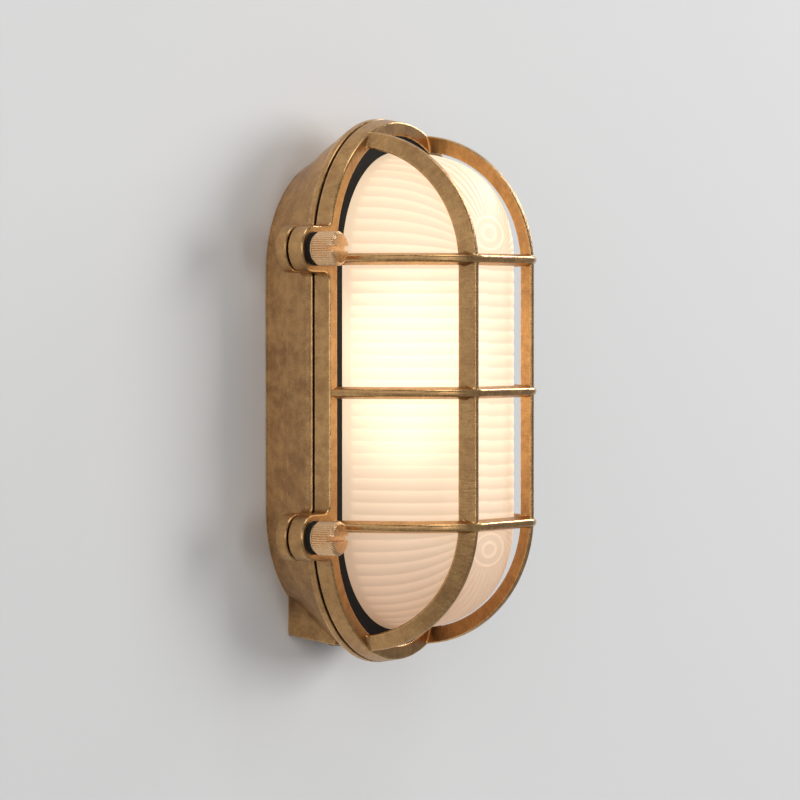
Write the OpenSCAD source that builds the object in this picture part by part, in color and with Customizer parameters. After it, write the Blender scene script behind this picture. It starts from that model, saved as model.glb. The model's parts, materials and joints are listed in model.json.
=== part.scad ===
// Obround wall light: a cast base, a cast guard that clamps a domed glass, and a lamp inside.
// Working frame of the modules: X to the right, Y up, Z out from the wall.
// stood() turns that frame so that the light hangs on a wall: Z up, the wall at Y = 0.

/* [Rim] */
// Height of the rim
body_h = 226; // [215:1:250]
// Width of the rim without its ears
body_w = 112; // [106:1:120]
// Depth of the guard's rim
rim_d = 7; // [6.6:0.2:9]
// Thickness of the rim's front lip
lip_t = 2.4; // [2:0.1:3]
// How much the rim narrows towards its front, each side
rim_draft = 1.25; // [0.4:0.05:2]
// Width of the rim's front face
rim_face_w = 5.9; // [5:0.1:7]
// Width of the joint face between base and guard
land_w = 4.6; // [4:0.1:5.4]

/* [Base casting] */
// Depth of the base casting
base_d = 28; // [26:0.5:34]
// Height of the step line over the wall
step_z = 13.4; // [11:0.2:16]
// Width of the step
step_w = 0.8; // [0.4:0.1:1.4]
// How much narrower the base is at the wall, each side
foot_in_w = 9; // [7:0.5:11]
// How much shorter the base is at the wall, each end
foot_in_h = 17; // [14:0.5:20]
// Height of the straight foot on the wall
foot_z = 1.5; // [1:0.1:2.5]
// Height of the straight land under the joint face
land_z = 2.4; // [2:0.1:3.5]
// Side wall of the base
base_wall = 3.2; // [2.6:0.1:4]
// Floor of the base
floor_t = 3; // [2.4:0.1:4]
// Distance between the two wall screw holes
wall_hole_pitch = 156; // [152:1:158]
// Diameter of the wall screw holes
wall_hole_d = 5.5; // [4.5:0.1:6.5]

/* [Ears and thumbscrews] */
// How far a thumbscrew's axis lies outside the rim
ear_out = 10.6; // [9:0.1:13]
// Height of a thumbscrew over the middle
ear_y = 58.2; // [54:0.2:60]
// Radius of an ear
ear_r = 9.4; // [8.6:0.1:10.4]
// Radius of the fillet between ear and rim
ear_fillet_r = 4; // [2.5:0.5:5]
// Thickness of the base's ears
base_ear_t = 4.7; // [4:0.1:6]
// Height over the wall at which a base ear has faded into the side
ear_fade_z = 12; // [9:0.5:18]
// Radius of a base ear's taper where it ends
ear_fade_r = 6; // [4:0.5:8]
// Depth of the threaded hole past the screw's tip
thread_spare = 1; // [0.6:0.1:1.6]
// Diameter of the thumbscrew's thread
screw_d = 5; // [4:0.1:6]
// Running clearance of the thread in the base, on the radius
thread_gap = 0.05; // [0.02:0.01:0.1]
// Clearance of the shank in the guard, on the radius
shank_gap = 0.35; // [0.25:0.05:0.5]
// Thread length past the joint face of the base
screw_reach = 6.4; // [5:0.2:8]
// Diameter of the knob
knob_d = 14; // [12:0.5:16]
// Length of the knob
knob_l = 10.9; // [9:0.1:14]
// Chamfer of the knob's outer face
knob_chamfer = 1.1; // [0.6:0.1:1.6]
// Number of grooves in the knurl
knurl_count = 56; // [30:2:64]
// Depth of a knurl groove
knurl_depth = 0.35; // [0.2:0.05:0.5]
// Width of the coin slot
slot_w = 2.1; // [1.2:0.1:2.6]
// Depth of the coin slot
slot_depth = 2.4; // [1.5:0.1:3.5]
// Thickness of the washer under the knob
washer_t = 1.6; // [0.8:0.1:2]
// Diameter of the washer
washer_d = 13.6; // [11:0.2:15]

/* [Guard bars and hoops] */
// Distance of a long bar from the centre line
bar_x = 22.5; // [20:0.5:24]
// Width of a bar's front edge
bar_w = 2.8; // [2.2:0.1:4]
// Depth of a bar
bar_depth = 6.8; // [5.5:0.1:7]
// How much further out a bar's inner edge lies than its front edge
bar_lean = 3.3; // [1:0.1:4]
// Distance of a bar's outer edge from the rim's outer edge, at the rim's end
bar_inset = 4.8; // [4:0.1:5.4]
// Radius of the bend at a bar's ends, on its front edge
bar_bend_r = 55; // [54:0.5:58]
// Height of the guard's front over the wall
guard_z = 86.4; // [86:0.2:92]
// Width of a hoop's rounded front
hoop_w = 2.8; // [2.2:0.1:4]
// Width of a hoop's back
hoop_back_w = 5; // [3:0.1:6]
// Depth of a hoop
hoop_depth = 4.5; // [3.5:0.1:5.5]
// How far the outer hoops' backs lean towards the middle
hoop_lean = 1.1; // [0:0.1:2]
// Distance of the outer hoops from the middle
hoop_y = 55; // [48:0.5:58]
// How far a hoop's crown stands in front of the bars
hoop_proud = 1; // [0.4:0.1:2]
// Squareness of a hoop's bend
hoop_power = 1.8; // [1.7:0.05:2.2]

/* [Glass and seals] */
// Width of the rubber between the rim's opening and the dome
bead_w = 4.55; // [3.8:0.05:6]
// Height of the dome's crown over the wall
dome_z = 79.2; // [76:0.2:79.6]
// Squareness of the dome
dome_power = 2.95; // [2.4:0.05:3]
// Thickness of the glass
glass_t = 3; // [2.4:0.1:3.6]
// How much shorter the glass is than the opening, each end
dome_short = 2; // [1:0.5:3]
// Thickness of the glass flange
flange_t = 2.6; // [2:0.1:2.8]
// Thickness of the rubber between flange and lip
gasket_t = 1.6; // [1.2:0.1:1.8]
// Thickness of the rubber round the flange
gasket_skirt = 1.4; // [1:0.1:1.8]
// How far the rubber stays behind the rim's front
gasket_sink = 0.8; // [0.4:0.1:1.4]
// Thickness of the seal between base and guard
seal_t = 1; // [0.8:0.1:1.6]
// How far the seal stays inside the rim
seal_in = 1; // [0.6:0.1:1.4]

/* [Cable entry] */
// Width of the entry boss
boss_w = 60; // [50:1:62]
// Depth of the entry boss over the wall
boss_z = 23; // [22:0.5:24]
// How much higher than the rim's end the boss ends at the wall
boss_in = 12; // [11:0.2:13]
// How much lower the boss ends at its front
boss_slope = 3.4; // [0:0.2:5]
// Radius of the boss's lower edge at the wall
boss_r = 1.6; // [1:0.1:3]
// Height of the gland's axis over the wall
gland_z = 8.6; // [8.4:0.1:9.4]
// How far the gland's seat lies outside the boss's end at the wall
seat_out = 0.2; // [0:0.1:0.8]
// Diameter of the entry bore
gland_bore_d = 12; // [11:0.5:13]
// Length of the entry bore
gland_bore_l = 14; // [11:0.5:16]
// Diameter of the gland's head
gland_head_d = 15.6; // [14.6:0.2:16]
// Thickness of the gland's head
gland_head_t = 5; // [3:0.2:6]
// Clearance round the gland's head in its spotface
gland_gap = 0.5; // [0.3:0.1:1]
// Diameter of the cable hole
cable_d = 8; // [6:0.5:9]

/* [Lamp and holder] */
// Diameter of the lamp's globe
globe_d = 60; // [50:1:60]
// Length of the lamp
lamp_l = 105; // [98:1:108]
// Height of the lamp's crown over the middle
lamp_top = 48; // [40:1:56]
// Distance of the lamp's axis from the wall
lamp_z = 40; // [38:0.5:42]
// Diameter of the lamp's cap
cap_d = 26.4; // [25:0.2:27]
// Length of the lamp's cap
cap_l = 25; // [22:0.5:27]
// Outer diameter of the lampholder
holder_d = 40; // [38:0.5:44]
// Depth of the lamp seat in the holder
holder_depth = 24; // [20:0.5:24]
// Thickness of the holder's floor
holder_floor = 12; // [9:0.5:14]
// Thickness of the bracket's sheet
sheet_t = 1.5; // [1.2:0.1:2.5]
// Width of the bracket
bracket_w = 34; // [30:1:38]
// Height of the posts under the bracket
post_h = 6; // [4:0.5:8]

/* [Hidden] */
$fn = 64;

// Radius of the rim's ends and half the straight length between them
rim_r = body_w / 2;
rim_s = (body_h - body_w) / 2;
// Thumbscrew axes from the centre line, the gland's seat and the boss's end under the middle
ear_x = body_w / 2 + ear_out;
boss_y = body_h / 2 - boss_in;
gland_y = boss_y + seat_out;
// Joint planes from the wall outwards
seal_z = base_d;
guard_rear_z = base_d + seal_t;
rim_front_z = guard_rear_z + rim_d;
lip_z = rim_front_z - lip_t;
// Clear opening of the rim and the recess behind its lip
opening_r = rim_r - rim_draft - rim_face_w;
recess_r = rim_r - land_w;
// A hoop's foot: its distance from the rim's outer edge and its depth in the rim
hoop_in = 0.7;
hoop_sunk = 0.9;
// Half the flat part of a hoop's crown, which ends over the bars
hoop_flat = bar_x - bar_w;
// Glass, with its half width over the flange
dome_w = opening_r - bead_w;
dome_s = rim_s - dome_short;
flange_top = lip_z - gasket_t;
flange_r = recess_r - gasket_skirt;
dome_h = dome_z - flange_top;
// Tip of a thumbscrew and the seat of its knob
screw_tip_z = seal_z - screw_reach;
knob_z = rim_front_z + washer_t;
// Base outline at the wall
foot_r = rim_r - foot_in_w;
foot_s = body_h / 2 - foot_in_h - foot_r;
inner_r = foot_r - base_wall;
land_start = base_d - land_z;
// Lamp and holder along Y
lamp_low = lamp_top - lamp_l;
holder_low = lamp_low - holder_floor;
holder_rim = holder_low + holder_floor + holder_depth;
plate_y = holder_low - sheet_t;
post_top = floor_t + post_h;
shell_d = cap_d + 3;
contact_depth = 2.6;
// Terminal block
block_w = 34;
block_h = 17;
block_t = 10;
head_seat = 7;
block_y = -22;
pole_pitch = 11;
fixing_x = pole_pitch / 2;
fixing_hole_l = 1.8;
fixing_l = head_seat + 1.4;
// Earth post
earth_x = 31;
earth_y = -38;
earth_h = 4;
// Thickness of the rubber under the gland's head
seal_press = 0.6;
// Wire leads
wire_d = 2.6;
wire_hole_d = 3;
wire_hole_l = 6;
wire_x = 2.6;
pole_z = floor_t + 4.5;
lead_start = block_y - block_h / 2;
// Posts under the bracket and pads round the wall holes
post_d = 8;
tap_d = 3.3;
clear_d = 3.6;
pad_d = 13;
pad_h = 2;
bracket_post_x = bracket_w / 3;
bracket_post_y = plate_y + 10;
// Steps of a worked-out curve and colours
curve_steps = 20;
hoop_steps = 14;
lead_sides = 8;
cast_brass = [0.62, 0.46, 0.25];
turned_brass = [0.80, 0.62, 0.38];
black_rubber = [0.08, 0.08, 0.08];
zinc_steel = [0.72, 0.73, 0.74];
nylon_black = [0.10, 0.10, 0.11];
ceramic = [0.93, 0.92, 0.88];

module stood() {
    rotate([90, 0, 0]) children();
}

// Flat obround: two round ends and a square between them.
module obround(r, s) {
    for (side = [-1, 1]) translate([0, side * s]) circle(r);
    square([2 * r, 2 * s], center = true);
}

module obround_plate(r, s, z, t) {
    translate([0, 0, z]) linear_extrude(t) obround(r, s);
}

// A section in radius and height, carried round an obround of half straight length s.
module round_obround(section, s) {
    for (turn = [0, 180]) {
        rotate([0, 0, turn]) translate([0, s, 0]) rotate_extrude(angle = 180) polygon(section);
    }
    for (flip = [0, 1]) {
        mirror([flip, 0, 0]) rotate([90, 0, 0]) linear_extrude(2 * s, center = true) polygon(section);
    }
}

// Quarter of a superellipse of half width w and height h, from the side to the crown.
function quarter(w, h, power, steps = curve_steps) = [
    for (i = [0 : steps])
        let (a = 90 * i / steps) [w * pow(cos(a), 2 / power), h * pow(sin(a), 2 / power)]
];

// Ring of points round an obround, counter-clockwise seen from the front.
function obround_ring(r, s, z, per_end) = [
    for (end = [0, 1])
        for (i = [0 : per_end])
            let (a = 180 * end + 180 * i / per_end) [r * cos(a), (end == 0 ? s : -s) + r * sin(a), z]
];

// Solid through a stack of obround rings, each given as radius, half straight length and height.
module lofted(stack, per_end = 40) {
    n = 2 * (per_end + 1);
    points = [for (layer = stack) each obround_ring(layer[0], layer[1], layer[2], per_end)];
    last = len(stack) - 1;
    walls = [
        for (k = [0 : last - 1])
            for (i = [0 : n - 1])
                let (a = k * n + i, b = k * n + (i + 1) % n)
                    each [[a, a + n, b], [b, a + n, b + n]]
    ];
    bottom = [for (i = [0 : n - 1]) i];
    top = [for (i = [n - 1 : -1 : 0]) last * n + i];
    polyhedron(points, concat(walls, [bottom, top]));
}

// Straight line between two ends, as a share k.
function between(a, b, k) = a + (b - a) * k;
step_share = step_z / land_start;
// Wall radius that an ear's fillets run into, a little inside the wall
ear_sink = 0.2;
base_ear_root = between(foot_r, rim_r, (base_d - base_ear_t) / land_start) - ear_sink;
guard_ear_root = rim_r - rim_draft - ear_sink;

// Closed section carried along a path that lies square to cross_axis. A section point is given as
// its way to the path's inner side and along cross_axis, and the points run counter-clockwise.
function unit(v) = v / norm(v);
module swept(path, section, cross_axis) {
    sides = len(section);
    last = len(path) - 1;
    points = [
        for (i = [0 : last])
            let (
                ahead = path[min(i + 1, last)],
                behind = path[max(i - 1, 0)],
                along = unit(ahead - behind),
                side = unit(cross(along, cross_axis)),
                up = cross(side, along)
            )
                for (q = section) path[i] + q[0] * side + q[1] * up
    ];
    walls = [
        for (i = [0 : last - 1])
            for (j = [0 : sides - 1])
                let (
                    a = i * sides + j,
                    b = i * sides + (j + 1) % sides
                )
                    each [[a, b, a + sides], [b, b + sides, a + sides]]
    ];
    start = [for (j = [sides - 1 : -1 : 0]) j];
    finish = [for (j = [0 : sides - 1]) last * sides + j];
    polyhedron(points, concat(walls, [start, finish]));
}

function ring_section(d, sides) = [
    for (j = [0 : sides - 1]) let (a = 360 * j / sides) d / 2 * [cos(a), sin(a)]
];

module at_ears() {
    for (sx = [-1, 1]) {
        for (sy = [-1, 1]) {
            translate([sx * ear_x, sy * ear_y, 0]) children();
        }
    }
}

// One ear seen from the front, at the upper right, with its fillets into a wall of radius r.
module ear_outline(r) {
    low_y = ear_y - ear_r - ear_fillet_r;
    high_y = ear_y + ear_r + ear_fillet_r;
    high_x = sqrt(pow(r + ear_fillet_r, 2) - pow(high_y - rim_s, 2));
    touch = r / (r + ear_fillet_r);
    touch_y = rim_s + (high_y - rim_s) * touch;
    translate([ear_x, ear_y]) circle(ear_r);
    translate([recess_r, ear_y - ear_r]) square([ear_x - recess_r, 2 * ear_r]);
    difference() {
        polygon([
            [recess_r, ear_y],
            [recess_r, low_y],
            [r, low_y],
            [r + ear_fillet_r, ear_y - ear_r],
            [r + ear_fillet_r, ear_y]
        ]);
        translate([r + ear_fillet_r, low_y]) circle(ear_fillet_r);
    }
    difference() {
        polygon([
            [recess_r, ear_y],
            [high_x, ear_y],
            [high_x, ear_y + ear_r],
            [high_x * touch, touch_y],
            [recess_r, rim_s]
        ]);
        translate([high_x, high_y]) circle(ear_fillet_r);
    }
}

module ears(z, t, wall_r) {
    for (sx = [0, 1]) {
        for (sy = [0, 1]) {
            mirror([sx, 0, 0]) mirror([0, sy, 0]) translate([0, 0, z]) {
                linear_extrude(t) ear_outline(wall_r);
            }
        }
    }
}

// Taper behind one base ear, at the upper right, that fades into the side of the base.
module ear_taper() {
    faded_x = between(foot_r, rim_r, ear_fade_z / land_start) + ear_sink - ear_fade_r;
    hull() {
        translate([ear_x, ear_y, base_d - base_ear_t]) cylinder(r = ear_r, h = 1);
        translate([faded_x, ear_y, ear_fade_z]) cylinder(r = ear_fade_r, h = 1);
    }
}

module base_outside() {
    lofted([
        [foot_r, foot_s, 0],
        [foot_r, foot_s, foot_z],
        [between(foot_r, rim_r, step_share) - step_w, between(foot_s, rim_s, step_share), step_z],
        [between(foot_r, rim_r, step_share), between(foot_s, rim_s, step_share), step_z],
        [rim_r, rim_s, land_start],
        [rim_r, rim_s, base_d]
    ]);
    ears(base_d - base_ear_t, base_ear_t, base_ear_root);
    for (sx = [0, 1]) {
        for (sy = [0, 1]) {
            mirror([sx, 0, 0]) mirror([0, sy, 0]) ear_taper();
        }
    }
    entry_boss();
}

// Squared pad under the lower end, for the gland. Its underside slopes down towards the front.
module entry_boss() {
    low = boss_y + boss_slope;
    translate([-boss_w / 2, 0, 0]) rotate([90, 0, 90]) linear_extrude(boss_w) difference() {
        polygon([[-rim_s, 0], [-boss_y, 0], [-low, boss_z], [-rim_s, boss_z]]);
        translate([-boss_y - boss_r, -boss_r]) difference() {
            square([2 * boss_r, 2 * boss_r]);
            translate([2 * boss_r, 2 * boss_r]) circle(boss_r);
        }
    }
}

// A cylinder along Y that starts at the gland's seat, on the gland's axis.
module on_gland_axis() {
    translate([0, -gland_y, gland_z]) rotate([-90, 0, 0]) children();
}

module base_inside() {
    lofted([
        [inner_r, foot_s, -1],
        [inner_r, foot_s, floor_t],
        [recess_r, rim_s, base_d + 1]
    ]);
}

// Pad inside the lower end, which gives the gland's bore a square inner face.
module bore_pad() {
    width = gland_bore_d + 8;
    translate([-width / 2, 1 - gland_y, 0]) cube([width, gland_bore_l - 2, gland_z + width / 2]);
}

module at_bracket_post(side) {
    translate([side * bracket_post_x, bracket_post_y, 0]) children();
}

module gland_bore() {
    on_gland_axis() translate([0, 0, -1]) cylinder(d = gland_bore_d, h = gland_bore_l + 2);
}

// Side wall of the base, with its ears and the cable entry
module base_side() {
    difference() {
        union() {
            difference() {
                base_outside();
                base_inside();
            }
            bore_pad();
        }
        gland_bore();
        on_gland_axis() translate([0, 0, -20]) cylinder(d = gland_head_d + 2 * gland_gap, h = 20);
        at_ears() translate([0, 0, screw_tip_z - thread_spare]) {
            cylinder(r = screw_d / 2 + thread_gap, h = base_d - screw_tip_z + thread_spare + 1);
        }
    }
}

// Half of the side wall: 0 is the upper one, 1 the lower one. They are one casting and meet face to face.
module base_half(lower) {
    intersection() {
        base_side();
        translate([-body_w, -lower * body_h, -1]) cube([2 * body_w, body_h, base_d + 2]);
    }
}

module base_side_upper() {
    color(cast_brass) stood() base_half(0);
}

module base_side_lower() {
    color(cast_brass) stood() base_half(1);
}

// Back of the base, with the pads of the wall screws and the posts that carry the parts inside.
module base_back() {
    color(cast_brass) stood() difference() {
        union() {
            difference() {
                lofted([[inner_r, foot_s, 0], [inner_r, foot_s, floor_t]]);
                bore_pad();
            }
            for (side = [-1, 1]) {
                translate([0, side * wall_hole_pitch / 2, 1]) cylinder(d = pad_d, h = floor_t + pad_h - 1);
                at_bracket_post(side) translate([0, 0, 1]) cylinder(d = post_d, h = post_top - 1);
            }
            translate([earth_x, earth_y, 1]) cylinder(d = post_d, h = floor_t + earth_h - 1);
        }
        for (side = [-1, 1]) {
            translate([0, side * wall_hole_pitch / 2, -1]) {
                cylinder(d = wall_hole_d, h = floor_t + pad_h + 2);
            }
            at_bracket_post(side) translate([0, 0, floor_t]) cylinder(d = tap_d, h = post_h + 1);
        }
        translate([earth_x, earth_y, floor_t]) cylinder(d = tap_d, h = earth_h + 1);
        translate([fixing_x, block_y, floor_t - fixing_hole_l]) cylinder(d = tap_d, h = floor_t + 1);
        gland_bore();
    }
}

module body_seal() {
    color(black_rubber) stood() translate([0, 0, seal_z]) linear_extrude(seal_t) difference() {
        obround(rim_r - seal_in, rim_s);
        obround(flange_r - 1, rim_s);
    }
}

// Rim of the guard: a band with a front lip and a recess behind it for rubber and glass.
module rim() {
    round_obround([
        [recess_r, guard_rear_z],
        [rim_r, guard_rear_z],
        [rim_r - rim_draft, rim_front_z],
        [opening_r, rim_front_z],
        [opening_r, lip_z],
        [recess_r, lip_z]
    ], rim_s);
}

// Long bar: a leaning section, straight in the middle and bent round at both ends.
module long_bar() {
    bend_y = body_h / 2 - rim_draft - bar_inset - bar_bend_r;
    inner_r = bar_bend_r - bar_depth;
    half = bar_w / 2;
    section = [
        [bar_bend_r, bar_x - half],
        [bar_bend_r, bar_x + half],
        [inner_r, bar_x + half + bar_lean],
        [inner_r, bar_x - half + bar_lean]
    ];
    bend_z = guard_z - bar_bend_r;
    for (flip = [0, 1]) {
        mirror([0, flip, 0]) translate([0, bend_y, bend_z]) {
            rotate([0, 90, 0]) rotate([0, 0, 90]) rotate_extrude(angle = 90) polygon(section);
        }
    }
    translate([0, bend_y, bend_z]) rotate([90, 0, 0]) linear_extrude(2 * bend_y) polygon([
        for (p = section) [p[1], p[0]]
    ]);
}

// Section of a hoop: a rounded front, sides that spread towards the back and eased back corners.
// lean carries the back along Y.
function hoop_section(lean) =
    let (
        r = hoop_w / 2,
        back = hoop_back_w / 2,
        ease = 0.4,
        upright = concat(
            [for (turn = [80 : -40 : -80]) [r - r * cos(turn), r * sin(turn)]],
            [[hoop_depth - ease, -back], [hoop_depth, ease - back]],
            [[hoop_depth, back - ease], [hoop_depth - ease, back]]
        )
    )
        [for (q = upright) [q[0], q[1] + lean * q[0] / hoop_depth]];

// Hoop: flat across the two bars and bent down to the rim on both sides. row is -1, 0 or 1.
module hoop(row) {
    half_w = rim_r - rim_draft - hoop_in;
    start_z = rim_front_z - hoop_sunk;
    side = quarter(half_w - hoop_flat, guard_z + hoop_proud - start_z, hoop_power, hoop_steps);
    far = len(side) - 1;
    path = concat(
        [for (p = side) [hoop_flat + p[0], row * hoop_y, start_z + p[1]]],
        [for (i = [far : -1 : 0]) [-hoop_flat - side[i][0], row * hoop_y, start_z + side[i][1]]]
    );
    swept(path, hoop_section(-row * hoop_lean), [0, 1, 0]);
}

// Rim of the guard with its ears. The bars and hoops that stand on it are the next module.
module guard_frame() {
    color(cast_brass) stood() difference() {
        union() {
            rim();
            ears(guard_rear_z, rim_d, guard_ear_root);
        }
        at_ears() translate([0, 0, guard_rear_z - 1]) {
            cylinder(r = screw_d / 2 + shank_gap, h = rim_d + 2);
        }
    }
}

module guard_cage() {
    color(cast_brass) stood() difference() {
        union() {
            for (flip = [0, 1]) mirror([flip, 0, 0]) long_bar();
            for (row = [-1, 0, 1]) hoop(row);
        }
        translate([-body_w, -body_h, -1]) cube([2 * body_w, 2 * body_h, rim_front_z + 1]);
    }
}

// Rubber between the lip and the glass: a washer, a skirt round the flange and a bead in the opening.
module glass_gasket() {
    bead_r = opening_r;
    color(black_rubber) stood() difference() {
        union() {
            obround_plate(recess_r, rim_s, flange_top - flange_t, flange_t);
            obround_plate(recess_r, rim_s, flange_top, gasket_t);
            obround_plate(bead_r, rim_s, lip_z, lip_t - gasket_sink);
        }
        obround_plate(flange_r, rim_s, flange_top - flange_t - 1, flange_t + 1);
        obround_plate(dome_w, dome_s, flange_top - 1, lip_t + gasket_t + 2);
    }
}

// Pressed glass: a flange and a dome of one section, hollow to the same rule.
module glass_dome() {
    outer = quarter(dome_w, dome_h, dome_power);
    inner = quarter(dome_w - glass_t, dome_h - glass_t, dome_power);
    far = len(outer) - 1;
    low = flange_top - flange_t;
    color(ceramic, 0.6) stood() union() {
        round_obround(concat(
            [for (p = outer) [p[0], flange_top + p[1]]],
            [for (i = [far : -1 : 0]) [inner[i][0], flange_top + inner[i][1]]],
            [[inner[0][0], low], [dome_w, low]]
        ), dome_s);
        difference() {
            obround_plate(flange_r, rim_s, low, flange_t);
            obround_plate(dome_w - 0.5, dome_s, low - 1, flange_t + 2);
        }
    }
}

// Knurled outline: a circle with shallow grooves.
module knurled_outline() {
    teeth = knurl_count;
    polygon([
        for (i = [0 : 2 * teeth - 1])
            let (a = 180 * i / teeth, r = knob_d / 2 - (i % 2) * knurl_depth) [r * cos(a), r * sin(a)]
    ]);
}

module thumbscrew_at(sx, sy) {
    knurl_root = knob_d / 2 - knurl_depth;
    color(turned_brass) stood() translate([sx * ear_x, sy * ear_y, 0]) difference() {
        union() {
            translate([0, 0, screw_tip_z]) cylinder(d = screw_d, h = knob_z - screw_tip_z + 1);
            translate([0, 0, knob_z]) cylinder(r = knurl_root - 0.3, h = 1);
            translate([0, 0, knob_z + 0.9]) linear_extrude(knob_l - knob_chamfer - 0.9) knurled_outline();
            translate([0, 0, knob_z + knob_l - knob_chamfer]) {
                cylinder(h = knob_chamfer, r1 = knurl_root - 0.15, r2 = knob_d / 2 - knob_chamfer - 0.15);
            }
        }
        translate([-knob_d, -slot_w / 2, knob_z + knob_l - slot_depth]) {
            cube([2 * knob_d, slot_w, slot_depth + 1]);
        }
    }
}

module washer_at(sx, sy) {
    color(black_rubber) stood() translate([sx * ear_x, sy * ear_y, rim_front_z]) difference() {
        cylinder(d = washer_d, h = washer_t);
        translate([0, 0, -1]) cylinder(r = screw_d / 2 + thread_gap, h = washer_t + 2);
    }
}

module cable_gland() {
    seat = seal_press;
    color(nylon_black) stood() on_gland_axis() difference() {
        union() {
            translate([0, 0, -gland_head_t]) {
                cylinder(d1 = gland_head_d - 3, d2 = gland_head_d, h = gland_head_t / 2);
            }
            translate([0, 0, -gland_head_t / 2]) cylinder(d = gland_head_d, h = gland_head_t / 2 - seat);
            translate([0, 0, -1]) cylinder(d = gland_bore_d - 0.3, h = gland_bore_l + 1);
        }
        translate([0, 0, -gland_head_t - 1]) cylinder(d = cable_d, h = gland_head_t + gland_bore_l + 2);
    }
}

module gland_seal() {
    color(black_rubber) stood() on_gland_axis() translate([0, 0, -seal_press]) difference() {
        cylinder(d = gland_head_d - 0.4, h = seal_press);
        translate([0, 0, -1]) cylinder(d = gland_bore_d, h = seal_press + 2);
    }
}

// Folded sheet: a foot on the posts and a plate that carries the lampholder.
module lamp_bracket() {
    reach = lamp_z + holder_d / 4 - post_top;
    color(zinc_steel) stood() difference() {
        union() {
            translate([-bracket_w / 2, plate_y, post_top]) cube([bracket_w, 15, sheet_t]);
            translate([-bracket_w / 2, plate_y, post_top]) cube([bracket_w, sheet_t, reach]);
        }
        for (side = [-1, 1]) {
            at_bracket_post(side) translate([0, 0, post_top - 1]) cylinder(d = clear_d, h = sheet_t + 2);
            along_lamp(plate_y - 1) translate([side * holder_d / 4, 0, 0]) {
                cylinder(d = clear_d, h = sheet_t + 2);
            }
        }
        along_lamp(plate_y - 1) cylinder(d = 9, h = sheet_t + 2);
    }
}

// Round-headed machine screw along Z, head up, seat at Z = 0.
module machine_screw(d, length, head_d, head_h) {
    difference() {
        union() {
            translate([0, 0, -length]) cylinder(d = d, h = length + head_h / 2);
            cylinder(d1 = head_d, d2 = head_d * 0.8, h = head_h);
        }
        translate([-head_d, -0.4, head_h * 0.45]) cube([2 * head_d, 0.8, head_h]);
    }
}

module bracket_screws() {
    color(zinc_steel) stood() for (side = [-1, 1]) {
        at_bracket_post(side) translate([0, 0, post_top + sheet_t]) machine_screw(3, 6, 5.6, 2);
    }
}

module holder_screws() {
    color(zinc_steel) stood() for (side = [-1, 1]) {
        translate([side * holder_d / 4, plate_y, lamp_z]) rotate([90, 0, 0]) machine_screw(3, 8, 5.6, 2);
    }
}

module along_lamp(y) {
    translate([0, y, lamp_z]) rotate([-90, 0, 0]) children();
}

module holder_body() {
    color(ceramic) stood() difference() {
        union() {
            along_lamp(holder_low) cylinder(d = holder_d - 4, h = holder_floor);
            along_lamp(holder_low + holder_floor - 2) cylinder(d = holder_d, h = holder_depth + 2);
        }
        along_lamp(lamp_low) cylinder(d = shell_d + 0.2, h = holder_depth + 1);
        along_lamp(lamp_low - contact_depth) cylinder(d = 12, h = contact_depth + 1);
        for (side = [-1, 1]) {
            along_lamp(holder_low - 1) translate([side * holder_d / 4, 0, 0]) cylinder(d = 3.2, h = 9);
            along_lamp(holder_low - 1) translate([side * wire_x, 0, 0]) {
                cylinder(d = wire_hole_d, h = wire_hole_l + 1);
            }
        }
    }
}

module holder_shell() {
    color(turned_brass) stood() difference() {
        along_lamp(lamp_low) cylinder(d = shell_d, h = holder_depth - 3);
        along_lamp(lamp_low + 0.8) cylinder(d = cap_d + 0.6, h = holder_depth);
        along_lamp(lamp_low - 1) cylinder(d = 14, h = 4);
    }
}

module holder_contact() {
    color(turned_brass) stood() union() {
        along_lamp(lamp_low - contact_depth) cylinder(d = 9, h = 1);
        along_lamp(lamp_low - contact_depth + 0.8) cylinder(d = 5, h = contact_depth - 0.8);
    }
}

// Sealed lamp: one turned body of cap, neck and globe. join is where the neck meets the globe.
module lamp() {
    r = globe_d / 2;
    neck_r = cap_d / 2 + 1.6;
    globe_y = lamp_l - r;
    join = 38;
    neck_y = cap_l + 8;
    outline = concat(
        [[0, 0], [4, 0], [4, 1.2], [cap_d / 2 - 3, 3], [cap_d / 2, 6]],
        [[cap_d / 2, cap_l], [neck_r, cap_l + 1]],
        [for (i = [0 : 5]) let (k = i / 6) [
            between(neck_r, r * cos(join), k * k * (3 - 2 * k)),
            between(neck_y, globe_y - r * sin(join), k)
        ]],
        [for (a = [-join : 8 : 82]) [r * cos(a), globe_y + r * sin(a)]],
        [[0, lamp_l]]
    );
    color([0.97, 0.96, 0.92]) stood() along_lamp(lamp_low) rotate_extrude() polygon(outline);
}

module terminal_block() {
    color(ceramic) stood() translate([-block_w / 2, block_y - block_h / 2, floor_t]) difference() {
        cube([block_w, block_h, block_t]);
        for (pole = [-1, 0, 1]) {
            translate([block_w / 2 + pole * pole_pitch, -1, pole_z - floor_t]) rotate([-90, 0, 0]) {
                cylinder(d = 4, h = block_h + 2);
            }
            for (row = [4, block_h - 4]) {
                translate([block_w / 2 + pole * pole_pitch, row, pole_z - floor_t]) {
                    cylinder(d = 4.2, h = block_t);
                }
            }
        }
        for (gap = [-0.5, 0.5]) {
            translate([block_w / 2 + gap * pole_pitch - 0.8, -1, 7]) cube([1.6, block_h + 2, 4]);
        }
        translate([block_w / 2 + fixing_x, block_h / 2, -1]) cylinder(d = 3.2, h = block_t);
        translate([block_w / 2 + fixing_x, block_h / 2, head_seat]) cylinder(d = 5.4, h = block_t);
    }
}

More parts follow.
